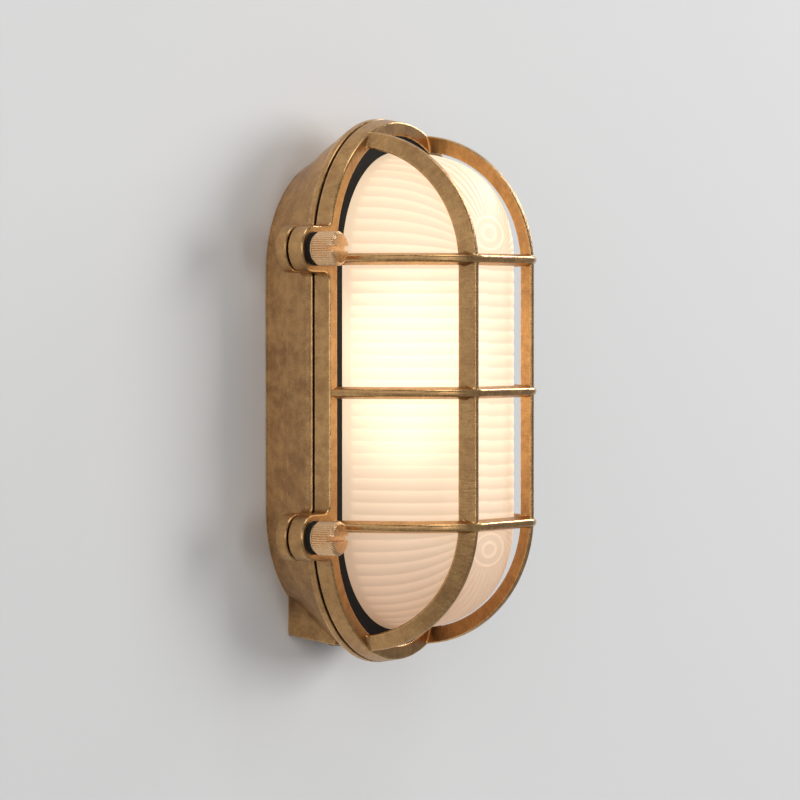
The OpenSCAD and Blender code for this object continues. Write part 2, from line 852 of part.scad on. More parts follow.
module terminal_screws() {
    color(turned_brass) stood() for (pole = [-1, 0, 1]) for (row = [4, block_h - 4]) {
        translate([pole * pole_pitch, block_y - block_h / 2 + row, floor_t + 6.4]) difference() {
            cylinder(d = 3.6, h = 2.6);
            translate([-3, -0.3, 1.8]) cube([6, 0.6, 2]);
        }
    }
}

module terminal_fixing() {
    color(zinc_steel) stood() translate([fixing_x, block_y, floor_t + head_seat]) {
        machine_screw(3, fixing_l, 5, 1.6);
    }
}

module earth_screw() {
    color(turned_brass) stood() translate([earth_x, earth_y, floor_t + earth_h + 0.8]) {
        machine_screw(3.1, 4.5, 6.4, 2.4);
    }
}

module earth_tag() {
    color(zinc_steel) stood() translate([earth_x, earth_y, floor_t + earth_h]) difference() {
        union() {
            cylinder(d = 8, h = 0.8);
            translate([-2, 0, 0]) cube([4, 9, 0.8]);
        }
        translate([0, 0, -1]) cylinder(d = 3.6, h = 3);
    }
}

// Smooth curve through chosen points, with n steps between two of them.
function eased(p, n = 4) = [
    for (i = [0 : len(p) - 2])
        let (a = p[max(i - 1, 0)], b = p[i], c = p[i + 1], d = p[min(i + 2, len(p) - 1)])
            for (k = [0 : (i == len(p) - 2 ? n : n - 1)])
                let (t = k / n)
                    b + t * (c - a) / 2 + t * t * (2 * a - 5 * b + 4 * c - d) / 2
                        + t * t * t * (3 * b - a - 3 * c + d) / 2
];

module lead(points, tint, cross_axis) {
    color(tint) stood() swept(eased(points), ring_section(wire_d, lead_sides), cross_axis);
}

// Route of a lead from its pole to the lampholder, given for the right-hand side.
function lamp_route(side) = [
    [side * pole_pitch, lead_start + 2, pole_z],
    [side * pole_pitch, lead_start - 1, pole_z],
    [side * (pole_pitch + 8), between(lead_start, plate_y, 0.36), pole_z],
    [side * (bracket_w / 2 + 6), between(lead_start, plate_y, 0.64), pole_z],
    [side * (bracket_w / 2 + 5), plate_y + 1, pole_z + 3],
    [side * (bracket_w / 2 - 2), plate_y - 6, pole_z + 13],
    [side * 6, plate_y - 7, lamp_z - 8],
    [side * wire_x, plate_y - 3.5, lamp_z],
    [side * wire_x, plate_y - 1, lamp_z],
    [side * wire_x, holder_low + wire_hole_l, lamp_z]
];

module live_lead() {
    lead(lamp_route(-1), [0.45, 0.27, 0.15], [1, 0, 0]);
}

module neutral_lead() {
    lead(lamp_route(1), [0.15, 0.35, 0.7], [1, 0, 0]);
}

module earth_lead() {
    block_top = block_y + block_h / 2;
    tag_z = floor_t + earth_h + 0.8 + wire_d / 2;
    lead([
        [0, block_top - 2, pole_z],
        [0, block_top + 1, pole_z],
        [2, block_top + 4, pole_z],
        [earth_x / 2, block_top + 8, pole_z],
        [earth_x - 4, block_top + 3, pole_z + 1],
        [earth_x, block_top - 5, tag_z],
        [earth_x, earth_y + 6, tag_z]
    ], [0.35, 0.6, 0.2], [0, 0, 1]);
}

base_side_upper();
base_side_lower();
base_back();
body_seal();
guard_frame();
guard_cage();
glass_gasket();
glass_dome();
thumbscrew_at(-1, 1);  // thumbscrew_upper_left
thumbscrew_at(1, 1);  // thumbscrew_upper_right
thumbscrew_at(-1, -1);  // thumbscrew_lower_left
thumbscrew_at(1, -1);  // thumbscrew_lower_right
washer_at(-1, 1);  // washer_upper_left
washer_at(1, 1);  // washer_upper_right
washer_at(-1, -1);  // washer_lower_left
washer_at(1, -1);  // washer_lower_right
cable_gland();
gland_seal();
lamp_bracket();
bracket_screws();
holder_body();
holder_shell();
holder_contact();
holder_screws();
lamp();
terminal_block();
terminal_screws();
terminal_fixing();
earth_screw();
earth_tag();
live_lead();
neutral_lead();
earth_lead();
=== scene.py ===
"""Obround cast brass wall light: looks of the light and the wall that it hangs on."""

import json
import math

import bpy
import numpy as np
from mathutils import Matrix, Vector


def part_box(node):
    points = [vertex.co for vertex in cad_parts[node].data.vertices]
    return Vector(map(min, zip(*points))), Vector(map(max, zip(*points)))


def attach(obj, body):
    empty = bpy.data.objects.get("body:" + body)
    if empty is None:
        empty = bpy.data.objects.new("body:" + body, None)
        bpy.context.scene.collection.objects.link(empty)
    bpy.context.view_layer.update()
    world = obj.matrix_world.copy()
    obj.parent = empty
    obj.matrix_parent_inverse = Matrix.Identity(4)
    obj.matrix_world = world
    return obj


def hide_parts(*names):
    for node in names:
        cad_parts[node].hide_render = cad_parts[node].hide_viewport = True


bl_info = {
    "name": "Obround wall light",
    "version": (1, 0, 0),
    "blender": (4, 5, 0),
    "location": "3D View > Sidebar > Wall light",
    "description": "Builds the castings, the ribbed glass and the finishes of a guarded brass wall light",
    "category": "Object",
}

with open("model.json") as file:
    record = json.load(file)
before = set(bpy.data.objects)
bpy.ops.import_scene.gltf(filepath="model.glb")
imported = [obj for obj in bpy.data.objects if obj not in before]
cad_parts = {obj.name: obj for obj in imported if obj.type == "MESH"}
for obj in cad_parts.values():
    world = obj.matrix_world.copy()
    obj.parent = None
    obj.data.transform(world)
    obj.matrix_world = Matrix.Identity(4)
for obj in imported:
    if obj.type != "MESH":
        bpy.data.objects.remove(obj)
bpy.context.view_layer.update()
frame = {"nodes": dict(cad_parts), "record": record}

# Depths of the joints over the wall and half the rim's height, in metres, taken from the solids.
JOINT = -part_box("body_seal")[1].y
RIM_BACK = -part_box("guard_frame")[1].y
RIM_FRONT = -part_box("guard_frame")[0].y
FLANGE_BACK = -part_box("glass_dome")[1].y
CROWN = -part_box("glass_dome")[0].y
HALF_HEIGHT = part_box("guard_frame")[1].z
# The four ears, as their sides across and up.
EARS = [(sx, sz) for sx in (-1, 1) for sz in (-1, 1)]
# Faces of two shells that would share a plane lie this far apart, so that they don't shade each other.
APART = 0.00003
# A shell that runs into another one ends this far under its skin.
OVERLAP = 0.001
# Middle of the light, which the camera and the studio lamps look at.
TARGET = Vector((0.0, -0.04, 0.0))


def size(name, default, description, unit="LENGTH"):
    """One size that a user may change, in metres where no other unit is given."""
    return bpy.props.FloatProperty(
        name=name, description=description, default=default, unit=unit, precision=5
    )


def tint(name, code, description):
    """One colour that a user may change, given as an sRGB hex code."""
    return bpy.props.FloatVectorProperty(
        name=name, description=description, default=linear(code), subtype="COLOR", size=3, min=0.0, max=1.0
    )


def linear(code):
    """Turns an sRGB hex code into linear red, green and blue."""
    parts = [int(code[i : i + 2], 16) / 255 for i in (1, 3, 5)]
    return tuple(c / 12.92 if c <= 0.04045 else ((c + 0.055) / 1.055) ** 2.4 for c in parts)


class CastingSizes(bpy.types.PropertyGroup):
    """Sizes of the base and of the guard, beside those that the solids give."""

    rim_radius: size("Rim radius", 0.056, "Radius of the rim's round ends at its back")
    rim_draft: size("Rim draft", 0.00125, "How much the rim narrows towards its front")
    rim_face: size("Rim face", 0.0059, "Width of the rim's front face")
    lip: size("Lip", 0.0024, "Thickness of the rim's front lip")
    recess: size("Recess", 0.0514, "Radius of the recess behind the lip")
    edge: size("Edge radius", 0.0009, "Radius to which the guard's edges are tumbled")
    land: size("Land", 0.0024, "Height of the straight land under the joint")
    step_depth: size("Step", 0.0134, "Depth of the base's step line over the wall")
    step_width: size("Step width", 0.0008, "Width of the step")
    foot_in: size("Foot, across", 0.009, "How much narrower the base is at the wall")
    foot_up: size("Foot, along", 0.017, "How much shorter the base is at the wall")
    foot_depth: size("Foot depth", 0.0015, "Height of the straight foot on the wall")
    ear_x: size("Ear, across", 0.0666, "Distance of a thumbscrew from the centre line")
    ear_z: size("Ear, along", 0.0582, "Height of a thumbscrew over the middle")
    ear_radius: size("Ear radius", 0.0094, "Radius of an ear")
    ear_depth: size("Base ear", 0.0047, "Thickness of the base's ears")
    ear_fillet: size("Ear fillet", 0.004, "Radius between an ear and the rim")
    fade_depth: size("Ear fade", 0.012, "Depth over the wall at which a base ear has faded away")
    fade_radius: size("Fade radius", 0.006, "Radius of a base ear's taper where it ends")
    shank_hole: size("Shank hole", 0.00285, "Radius of the hole through the guard's ear")
    thread_hole: size("Thread hole", 0.00255, "Radius of the hole through the base's ear")
    boss_half: size("Boss, across", 0.030, "Half the width of the cable entry's boss")
    boss_depth: size("Boss depth", 0.023, "Depth of the boss over the wall")
    boss_end: size("Boss end", 0.101, "Lower end of the boss at the wall, under the middle")
    boss_slope: size("Boss slope", 0.0034, "How much lower the boss ends at its front")
    entry_depth: size("Entry, depth", 0.0086, "Distance of the cable entry's axis from the wall")
    entry_radius: size("Entry spotface", 0.0083, "Radius of the spotface round the gland")
    nut: size("Gland nut", 0.0079, "Radius of the gland's nut")
    cable: size("Cable hole", 0.0041, "Radius of the hole through the gland's nut")
    skin: size("Skin", 0.0002, "How far the base's skin lies outside the solid")


class GuardSizes(bpy.types.PropertyGroup):
    """Sizes of the bars and hoops of the guard."""

    bar_x: size("Bar, across", 0.0225, "Distance of a bar from the centre line")
    bar_width: size("Bar edge", 0.0028, "Width of a bar's front edge")
    bar_depth: size("Bar depth", 0.0068, "Depth of a bar")
    bar_lean: size("Bar lean", 0.0033, "How much further out a bar's inner edge lies")
    bend: size("Bend radius", 0.055, "Radius of a bar's bend on its front edge")
    bend_inset: size("Bend inset", 0.00605, "Distance from the rim's end to a bar's outer edge")
    front: size("Bar front", 0.0864, "Depth of the bars' front over the wall")
    hoop_front: size("Hoop front", 0.0028, "Width of a hoop's rounded front")
    hoop_back: size("Hoop back", 0.0052, "Width of a hoop's back")
    hoop_depth: size("Hoop depth", 0.0045, "Depth of a hoop")
    hoop_lean: size("Hoop lean", 0.0003, "How far the outer hoops' backs lean towards the middle")
    hoop_z: size("Hoop, along", 0.0545, "Distance of the outer hoops from the middle")
    hoop_in: size("Hoop inset", 0.0007, "Distance of a hoop's foot from the rim's outer edge")
    hoop_proud: size("Hoop proud", 0.001, "How far a hoop stands in front of the bars")
    hoop_flat: size("Hoop flat", 0.0197, "Half the flat part of a hoop's crown")
    hoop_power: size("Hoop squareness", 1.8, "Squareness of a hoop's bend", "NONE")
    fillet: size("Fillet", 0.0008, "Radius between the bars, the hoops and the rim")


class GlassSizes(bpy.types.PropertyGroup):
    """Sizes of the pressed glass."""

    half_width: size("Half width", 0.0438, "Half width of the dome over its flange")
    short: size("Shorter by", 0.002, "How much shorter the dome is than the opening, each end")
    power: size("Squareness", 2.95, "Squareness of the dome's section", "NONE")
    wall: size("Wall", 0.003, "Thickness of the glass")
    flange: size("Flange", 0.0026, "Thickness of the flange")
    flange_radius: size("Flange radius", 0.050, "Radius of the flange's round ends")
    ribs_straight: bpy.props.IntProperty(
        name="Ribs along", description="Ribs on the straight part", default=22
    )
    ribs_end: bpy.props.IntProperty(name="Ribs round", description="Ribs round one end", default=26)
    rib_height: size("Rib height", 0.00034, "Height of a rib")
    rib_start: size("Rib start", 0.0388, "Depth over the wall at which the ribs begin")
    eye_z: size("Eye, along", 0.065, "Height of the moulded rings' middle")
    eye_across: size("Eye width", 0.012, "Half the width of the outer moulded ring")
    eye_along: size("Eye height", 0.0066, "Half the height of the outer moulded ring")


class ScrewSizes(bpy.types.PropertyGroup):
    """Sizes of a thumbscrew, beside those that the solids give."""

    shank: size("Shank", 0.0025, "Radius of the thread")
    neck: size("Neck", 0.00635, "Radius of the knob's face on the washer")
    washer: size("Washer", 0.0016, "Thickness of the washer under the knob")
    knob: size("Knob", 0.007, "Radius of the knob over its knurl")
    knurl: size("Knurl", 0.00038, "Depth of the knurl")
    teeth: bpy.props.IntProperty(name="Teeth", description="Number of ridges in the knurl", default=44)
    chamfer: size("Chamfer", 0.0011, "Width of the knob's chamfer")
    face: size("Face", 0.00575, "Radius of the knob's outer face")
    slot_width: size("Slot width", 0.0021, "Width of the screwdriver slot")
    slot_depth: size("Slot depth", 0.0024, "Depth of the screwdriver slot")


class Finishes(bpy.types.PropertyGroup):
    """Colours of the finishes."""

    brass: tint("Cast brass", "#D1A670", "Worn cast brass")
    patina: tint("Patina", "#A87F55", "Darkened cast brass in the low places")
    bright: tint("Worn edge", "#E0B67E", "Cast brass polished by handling")
    turned: tint("Turned brass", "#E8C094", "Freshly turned brass of the knobs")
    glass: tint("Glass", "#A9A297", "Frosted glass in plain light")
    rubber: tint("Rubber", "#0C0C0D", "Black rubber")


class StageSettings(bpy.types.PropertyGroup):
    """The wall, the lights and the camera."""

    wall: tint("Wall", "#D7D7D7", "Painted wall")
    azimuth: size("Azimuth", math.radians(-58.9), "Camera's angle from the front, to the right", "ROTATION")
    elevation: size("Elevation", math.radians(1.02), "Camera's angle over the horizon", "ROTATION")
    distance: size("Distance", 1.769, "Camera's distance from the light")
    lens: size("Lens", 191.6, "Focal length on a 36 mm sensor, in millimetres", "NONE")


# Surfaces


def wrap(points, faces, triangles, wear_and_rib_highlight, flat=0, along=0.0):
    """A closed shell with its faces outward, its last faces flat, its length values and its wear values,
    which on the glass are a painted rib highlight.

    The signed volume is a sixth of the sum of a . (b x c) over the triangles; below zero the faces turn.
    """
    a, b, c = (points[triangles[:, k]] for k in range(3))
    if np.einsum("ij,ij->", a, np.cross(b, c)) < 0:
        faces = [f[::-1] for f in faces]
    smooth = np.ones(len(faces), bool)
    if flat:
        smooth[-flat:] = False
    count = len(points)
    return points, faces, smooth, np.broadcast_to(wear_and_rib_highlight, count), np.broadcast_to(along, count)


def grid_faces(rows, columns, close_rows, close_columns):
    """Quads of a grid: each joins point (i, j) to (i+1, j), (i+1, j+1) and (i, j+1)."""
    index = np.arange(rows * columns).reshape(rows, columns)
    if close_rows:
        index = np.vstack([index, index[:1]])
    if close_columns:
        index = np.hstack([index, index[:, :1]])
    return np.stack([index[:-1, :-1], index[1:, :-1], index[1:, 1:], index[:-1, 1:]], -1).reshape(-1, 4)


def shell(points, wear_and_rib_highlight=0.0, along=0.0, close_rows=False, close_columns=True, facets=False):
    """A closed shell from a grid of points (across, up, out). Open ends are capped, doubled points joined.

    Points that fall together, as at a pole or along a seam, become one, and a quad that loses a corner
    becomes a triangle. With facets every face is flat.
    """
    rows, columns = points.shape[:2]
    quads = grid_faces(rows, columns, close_rows, close_columns)
    wear_and_rib_highlight = np.broadcast_to(wear_and_rib_highlight, points.shape[:2]).reshape(-1)
    along = np.broadcast_to(along, points.shape[:2]).reshape(-1)
    flat = points.reshape(-1, 3)
    first, place = np.unique(np.round(flat, 8), axis=0, return_index=True, return_inverse=True)[1:]
    quads = place.reshape(-1)[quads]
    same = quads == np.roll(quads, -1, axis=1)
    whole = quads[~same.any(1)]
    cut = quads[same.sum(1) == 1]
    three = cut[~same[same.sum(1) == 1]].reshape(-1, 3)
    faces = whole.tolist() + three.tolist()
    triangles = np.vstack([whole[:, [0, 1, 2]], whole[:, [0, 2, 3]], three])
    caps = 0
    if close_columns and not close_rows:
        ends = place.reshape(rows, columns)[[0, -1]]
        ends = [ends[0][::-1], ends[1]]
        faces += [e.tolist() for e in ends]
        triangles = np.vstack([triangles] + [fan(e) for e in ends])
        caps = 2
    return wrap(flat[first], faces, triangles, wear_and_rib_highlight[first], len(faces) if facets else caps, along[first])


def fan(loop):
    """Triangles from a loop's first corner to its other sides."""
    loop = np.asarray(loop)
    return np.stack([np.full(len(loop) - 2, loop[0]), loop[1:-1], loop[2:]], -1)


def extremes(offsets):
    """Indices of the points that lie nearest to the directions 0 and pi from the middle."""
    turn = np.abs(np.arctan2(offsets[:, 1], offsets[:, 0]))
    return np.argmin(turn), np.argmax(turn)


def between(first, last, count):
    """Indices from first to last in rising order round a ring of count points."""
    return np.arange(first, last + 1 + (count if last < first else 0)) % count


def pierced(rings, hole, wear_and_rib_highlight, axes=(0, 1)):
    """A closed block with a hole: rings round it from back to front, then rings down the hole.

    Each end is two many-sided faces that meet on a line through the hole. axes are the two directions that
    the rings lie in.
    """
    count, columns = rings.shape[:2]
    deep, sides = hole.shape[:2]
    start = count * columns
    outer = grid_faces(count, columns, False, True)
    inner = grid_faces(deep, sides, False, True) + start
    faces = outer.tolist() + inner.tolist()
    quads = np.vstack([outer, inner])
    triangles = np.vstack([quads[:, [0, 1, 2]], quads[:, [0, 2, 3]]])
    ends = []
    for ring, bore, flip in ((count - 1, 0, False), (0, deep - 1, True)):
        middle = hole[bore][:, axes].mean(0)
        right, left = extremes(rings[ring][:, axes] - middle)
        near, far = extremes(hole[bore][:, axes] - middle)
        halves = (
            (between(right, left, columns), between(near, far, sides)),
            (between(left, right, columns), between(far, near, sides)),
        )
        for part, way in halves:
            loop = np.concatenate([part + ring * columns, way[::-1] + start + bore * sides])
            ends.append(loop[::-1] if flip else loop)
    faces += [e.tolist() for e in ends]
    triangles = np.vstack([triangles] + [fan(e) for e in ends])
    points = np.vstack([rings.reshape(-1, 3), hole.reshape(-1, 3)])
    wear_and_rib_highlight = np.concatenate([np.broadcast_to(wear_and_rib_highlight, (count, columns)).reshape(-1), np.zeros(deep * sides)])
    return wrap(points, faces, triangles, wear_and_rib_highlight, flat=4)


def piece(name, shells, material, body, nodes=()):
    """Joins shells into one mesh object in the frame, as (across, -out, up), and hangs it on its body."""
    start = np.cumsum([0] + [len(s[0]) for s in shells])
    faces = [[v + int(n) for v in face] for s, n in zip(shells, start) for face in s[1]]
    points, smooth, wear_and_rib_highlight, along = (np.concatenate([s[k] for s in shells]) for k in (0, 2, 3, 4))
    mesh = bpy.data.meshes.new(name)
    mesh.from_pydata(np.stack([points[:, 0], -points[:, 2], points[:, 1]], -1), [], faces)
    # The wear values are the brass's rubbed edges, and on the glass a painted rib highlight.
    for key, value in (("wear_and_rib_highlight", wear_and_rib_highlight), ("along", along)):
        mesh.attributes.new(key, "FLOAT", "POINT").data.foreach_set("value", value.astype(np.float32))
    mesh.polygons.foreach_set("use_smooth", smooth)
    mesh.materials.append(material)
    mesh.validate()
    mesh.update()
    made = bpy.data.objects.new(name, mesh)
    bpy.context.scene.collection.objects.link(made)
    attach(made, body)
    if nodes:
        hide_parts(*nodes)
    return made


def rounded(corners, radius, steps=5, hold=0.0004):
    """A closed outline with its corners rounded, and the wear of each point: 1 in the middle of a corner.

    A corner's arc touches both sides at radius / tan(half the corner's angle), or at 0.45 of the shorter
    side where that is less. A point beside each end of the arc, hold away from it, keeps the flat sides
    flat under smooth shading.
    """
    corners = np.asarray(corners, float)
    radii = np.broadcast_to(radius, len(corners))
    points, wear_and_rib_highlight = [], []
    for k, corner in enumerate(corners):
        back = corners[k - 1] - corner
        ahead = corners[(k + 1) % len(corners)] - corner
        room = 0.45 * min(np.linalg.norm(back), np.linalg.norm(ahead))
        back, ahead = back / np.linalg.norm(back), ahead / np.linalg.norm(ahead)
        half = 0.5 * math.acos(np.clip(back @ ahead, -1, 1))
        cut = min(radii[k] / math.tan(half), room)
        r = cut * math.tan(half)
        middle = corner + (back + ahead) / np.linalg.norm(back + ahead) * r / math.sin(half)
        a, b = corner + back * cut - middle, corner + ahead * cut - middle
        t = np.linspace(0, 1, steps)[:, None]
        angle = math.pi - 2 * half
        arc = (np.sin((1 - t) * angle) * a + np.sin(t * angle) * b) / math.sin(angle) + middle
        arm = min(hold, 0.3 * room)
        points += [corner + back * (cut + arm), *arc, corner + ahead * (cut + arm)]
        # An arc's ends have a little wear too.
        wear_and_rib_highlight += [0, *np.sin(np.pi * np.clip(t[:, 0], 0.12, 0.88)), 0]
    return np.array(points), np.array(wear_and_rib_highlight)


def round_obround(profile, straight, per_end=72):
    """Carries a profile of (radius, depth) round an obround of that half straight length.

    A point is (r cos a, +-s + r sin a, depth), with a from 0 to 180 degrees at the upper end and on to 360
    at the lower one. The straight length may change from point to point of the profile.
    """
    a = np.concatenate([np.linspace(0, np.pi, per_end + 1), np.linspace(np.pi, 2 * np.pi, per_end + 1)])
    end = np.repeat([1.0, -1.0], per_end + 1)
    r, depth = profile[:, 0], profile[:, 1]
    s = np.broadcast_to(straight, r.shape)
    x = np.outer(np.cos(a), r)
    z = np.outer(end, s) + np.outer(np.sin(a), r)
    return np.stack([x, z, np.broadcast_to(depth, x.shape)], -1)


def superellipse(width, height, power, steps):
    """Quarter of (x / width)^power + (h / height)^power = 1, from the side to the crown."""
    a = np.linspace(0, np.pi / 2, steps)
    return np.stack([width * np.cos(a) ** (2 / power), height * np.sin(a) ** (2 / power)], -1)


def length_along(path):
    """Distance of each point from the path's start."""
    return np.concatenate([[0], np.cumsum(np.linalg.norm(np.diff(path, axis=0), axis=1))])


def resampled(path, stops):
    """Points on the same line at these distances from its start."""
    length = length_along(path)
    return np.stack([np.interp(stops, length, path[:, k]) for k in range(path.shape[1])], -1)


def fillet(gap, radius):
    """How far a round fillet stands off one wall, at a gap g from the other: r - sqrt(r^2 - (r - g)^2)."""
    left = radius - np.clip(gap, 0, radius)
    return radius - np.sqrt(np.maximum(radius**2 - left**2, 0))


def rest(s):
    """Half straight length of the rim."""
    return HALF_HEIGHT - s.rim_radius


def base_outline(s, depth):
    """Radius and half straight length of the base at a depth: they grow evenly from the foot to the land."""
    share = np.clip(depth / (JOINT - s.land), 0, 1)
    foot = s.rim_radius - s.foot_in
    straight = HALF_HEIGHT - s.foot_up - foot
    return foot + s.foot_in * share, straight + (rest(s) - straight) * share


def base_side(s, depth, up):
    """Half width of the base at this depth and height: sqrt(R^2 - (z - S)^2) round the ends."""
    radius, straight = base_outline(s, depth)
    return np.sqrt(np.maximum(radius**2 - np.maximum(np.abs(up) - straight, 0) ** 2, 0))


def drawn_in(outline, inset):
    """The outline moved inward along its normals. It runs counter-clockwise."""
    ahead = np.roll(outline, -1, 0) - np.roll(outline, 1, 0)
    ahead /= np.linalg.norm(ahead, axis=1)[:, None]
    return outline + inset * np.stack([-ahead[:, 1], ahead[:, 0]], -1)


def ear_block(s, wall, back, front, edge, hole, grow=0.0):
    """An ear at the upper right, with its fillets, rounded edges and hole.

    The outline runs round the ear's circle and along the two circles that touch both the ear and the wall.
    Each edge is a quarter circle: drawn in by r (1 - sin a), raised by r (1 - cos a). Drawn in, the ear's
    circle shrinks and the fillets grow.
    """
    f, straight = s.ear_fillet, rest(s)
    low = s.ear_z - s.ear_radius - f
    high = s.ear_z + s.ear_radius + f
    high_x = math.sqrt((wall + f) ** 2 - (high - straight) ** 2)
    high_end = math.atan2(straight - high, -high_x)
    # The block ends in the rim's own thickness, and beside the fillets it lies just under the wall.
    inside, sunk = s.recess + 0.0012, 0.00015
    past = math.atan2(high - straight, high_x) + OVERLAP / wall
    fillet_steps, ear_steps, edge_steps, hole_sides = 12, 41, 6, 32

    def outline(cut):
        """The ear's outline drawn in by cut."""
        arcs = (
            (wall + f, low, f - grow + cut, np.linspace(np.pi, np.pi / 2, fillet_steps)),
            (s.ear_x, s.ear_z, s.ear_radius + grow - cut, np.linspace(-np.pi / 2, np.pi / 2, ear_steps)),
            (high_x, high, f - grow + cut, np.linspace(-np.pi / 2, high_end, fillet_steps)),
        )
        reach = wall - sunk - cut
        before = [[inside, low - OVERLAP], [reach, low - OVERLAP]]
        beyond = [reach * math.cos(past), straight + reach * math.sin(past)]
        parts = [np.stack([x + r * np.cos(a), z + r * np.sin(a)], -1) for x, z, r, a in arcs]
        return np.concatenate([before, *parts, [beyond, [inside, high - 4 * OVERLAP]]])

    a = np.linspace(0, np.pi / 2, edge_steps)
    inset = edge * (1 - np.sin(a))
    rise = edge * (1 - np.cos(a))
    rings = []
    front, back = front + grow - APART, back - grow + APART
    for depth, cut in [*zip(back + rise, inset), *zip(front - rise[::-1], inset[::-1])]:
        ring = outline(cut)
        rings.append(np.column_stack([ring, np.full(len(ring), depth)]))
    turn = np.linspace(0, 2 * np.pi, hole_sides + 1)[:-1]
    across, up = s.ear_x + hole * np.cos(turn), s.ear_z + hole * np.sin(turn)
    bore = np.column_stack([across, up, np.zeros(hole_sides)])
    ends = np.array([[0, 0, front], [0, 0, back]])
    wear_and_rib_highlight = np.sin(2 * np.concatenate([a, a]))[:, None]
    return np.array(rings), bore + ends[:, None], wear_and_rib_highlight


def mirrored(grid, sx, sz):
    """The same grid on the other side of the middle."""
    return grid * np.array([sx, sz, 1.0])


# Materials


def add(tree, kind, inputs=None, **settings):
    """Adds a node with its settings, and links or sets its inputs."""
    made = tree.nodes.new(kind)
    for key, value in settings.items():
        setattr(made, key, value)
    for key, value in (inputs or {}).items():
        if isinstance(value, bpy.types.NodeSocket):
            tree.links.new(value, made.inputs[key])
        else:
            made.inputs[key].default_value = value
    return made


def sums(tree, operation, *values):
    """One arithmetic node; gives its result."""
    return add(tree, "ShaderNodeMath", dict(enumerate(values)), operation=operation).outputs[0]


def spread(tree, value, low, high, bottom, top):
    """Carries a value from one range to another, smoothly and without leaving it."""
    inputs = {"Value": value, "From Min": low, "From Max": high, "To Min": bottom, "To Max": top}
    return add(tree, "ShaderNodeMapRange", inputs, interpolation_type="SMOOTHSTEP").outputs[0]


def blend(tree, share, first, second):
    """Mixes two colours, each a node's output or a linear colour. Sockets 6 and 7 are the node's colours."""
    first, second = (c if isinstance(c, bpy.types.NodeSocket) else rgba(c) for c in (first, second))
    return add(tree, "ShaderNodeMix", {0: share, 6: first, 7: second}, data_type="RGBA").outputs[2]


def noise(tree, at, scale, detail=3.0, roughness=0.6):
    """Noise with spots of about 1 / scale metres."""
    inputs = {"Vector": at, "Scale": scale, "Detail": detail, "Roughness": roughness}
    return add(tree, "ShaderNodeTexNoise", inputs).outputs["Fac"]


def blank(name):
    """A new material with its node tree, its Principled shader and the Object coordinates."""
    made = bpy.data.materials.new(name)
    made.use_nodes = True
    tree = made.node_tree
    return made, tree, tree.nodes["Principled BSDF"], add(tree, "ShaderNodeTexCoord").outputs["Object"]


def rgba(colour):
    """A linear colour with its alpha."""
    return (*colour, 1.0)


def attribute(tree, name):
    """The value that a piece's mesh holds under this name."""
    return add(tree, "ShaderNodeAttribute", attribute_name=name).outputs["Fac"]


def cast_brass(f):
    """Sand-cast brass, tumbled and left to darken: grainy, browner in patches and bright on the edges."""
    made, tree, shader, at = blank("Sand-cast brass")
    wear_and_rib_highlight = attribute(tree, "wear_and_rib_highlight")
    # Spots in a metre: clouds of patina 12 mm across, blotches of 3 mm and the sand's grain of 0.7 mm.
    clouds, blotches, sand = 85.0, 330.0, 1500.0
    cloud = noise(tree, at, clouds)
    blotch = noise(tree, at, blotches)
    grain = noise(tree, at, sand, 4.0, 0.7)
    # The polishing belt's marks lie across the bars, 0.35 mm apart, and each is about 6 mm long.
    marks, mark_ends = 2900.0, 160.0
    belt = add(tree, "ShaderNodeCombineXYZ", {"X": sums(tree, "MULTIPLY", attribute(tree, "along"), marks)})
    slow = add(tree, "ShaderNodeVectorMath", {0: at, 1: (mark_ends,) * 3}, operation="MULTIPLY")
    lines = add(tree, "ShaderNodeVectorMath", {0: belt.outputs[0], 1: slow.outputs[0]}, operation="ADD")
    brushed = noise(tree, lines.outputs[0], 1.0, 2.0)
    # The tone follows the clouds and the grain, and the blotches and marks swing it to both sides.
    even = sums(tree, "MULTIPLY_ADD", cloud, 0.45, sums(tree, "MULTIPLY", grain, 0.55))
    swing = sums(tree, "ADD", blotch, brushed)
    share = sums(tree, "MULTIPLY_ADD", swing, 0.42, sums(tree, "SUBTRACT", even, 0.42))
    tone = blend(tree, spread(tree, share, 0.28, 0.72, 0.0, 1.0), f.patina, f.brass)
    # The blotches break up the rubbed edges.
    edge = sums(tree, "MULTIPLY", wear_and_rib_highlight, spread(tree, blotch, 0.35, 0.65, 0.35, 0.85))
    tree.links.new(blend(tree, edge, tone, f.bright), shader.inputs["Base Color"])
    # Rubbed edges are smoother, in the sheen and in the grain.
    rough = spread(tree, sums(tree, "ADD", grain, brushed), 0.6, 1.4, 0.27, 0.47)
    tree.links.new(sums(tree, "MULTIPLY_ADD", wear_and_rib_highlight, -0.15, rough), shader.inputs["Roughness"])
    height = sums(tree, "MULTIPLY_ADD", grain, 0.8, sums(tree, "MULTIPLY_ADD", blotch, 1.2, brushed))
    strength = sums(tree, "MULTIPLY_ADD", wear_and_rib_highlight, -0.5, 0.65)
    bump = add(tree, "ShaderNodeBump", {"Height": height, "Strength": strength, "Distance": 0.00015})
    tree.links.new(bump.outputs[0], shader.inputs["Normal"])
    shader.inputs["Metallic"].default_value = 1.0
    return made


def turned_brass(f):
    """Turned brass, bright and pale, with faint tool marks of 0.9 mm."""
    made, tree, shader, at = blank("Turned brass")
    marks = noise(tree, at, 1100.0)
    tree.links.new(spread(tree, marks, 0.3, 0.7, 0.2, 0.3), shader.inputs["Roughness"])
    bump = add(tree, "ShaderNodeBump", {"Height": marks, "Strength": 0.04, "Distance": 0.0001})
    tree.links.new(bump.outputs[0], shader.inputs["Normal"])
    shader.inputs["Base Color"].default_value = rgba(f.turned)
    shader.inputs["Metallic"].default_value = 1.0
    return made


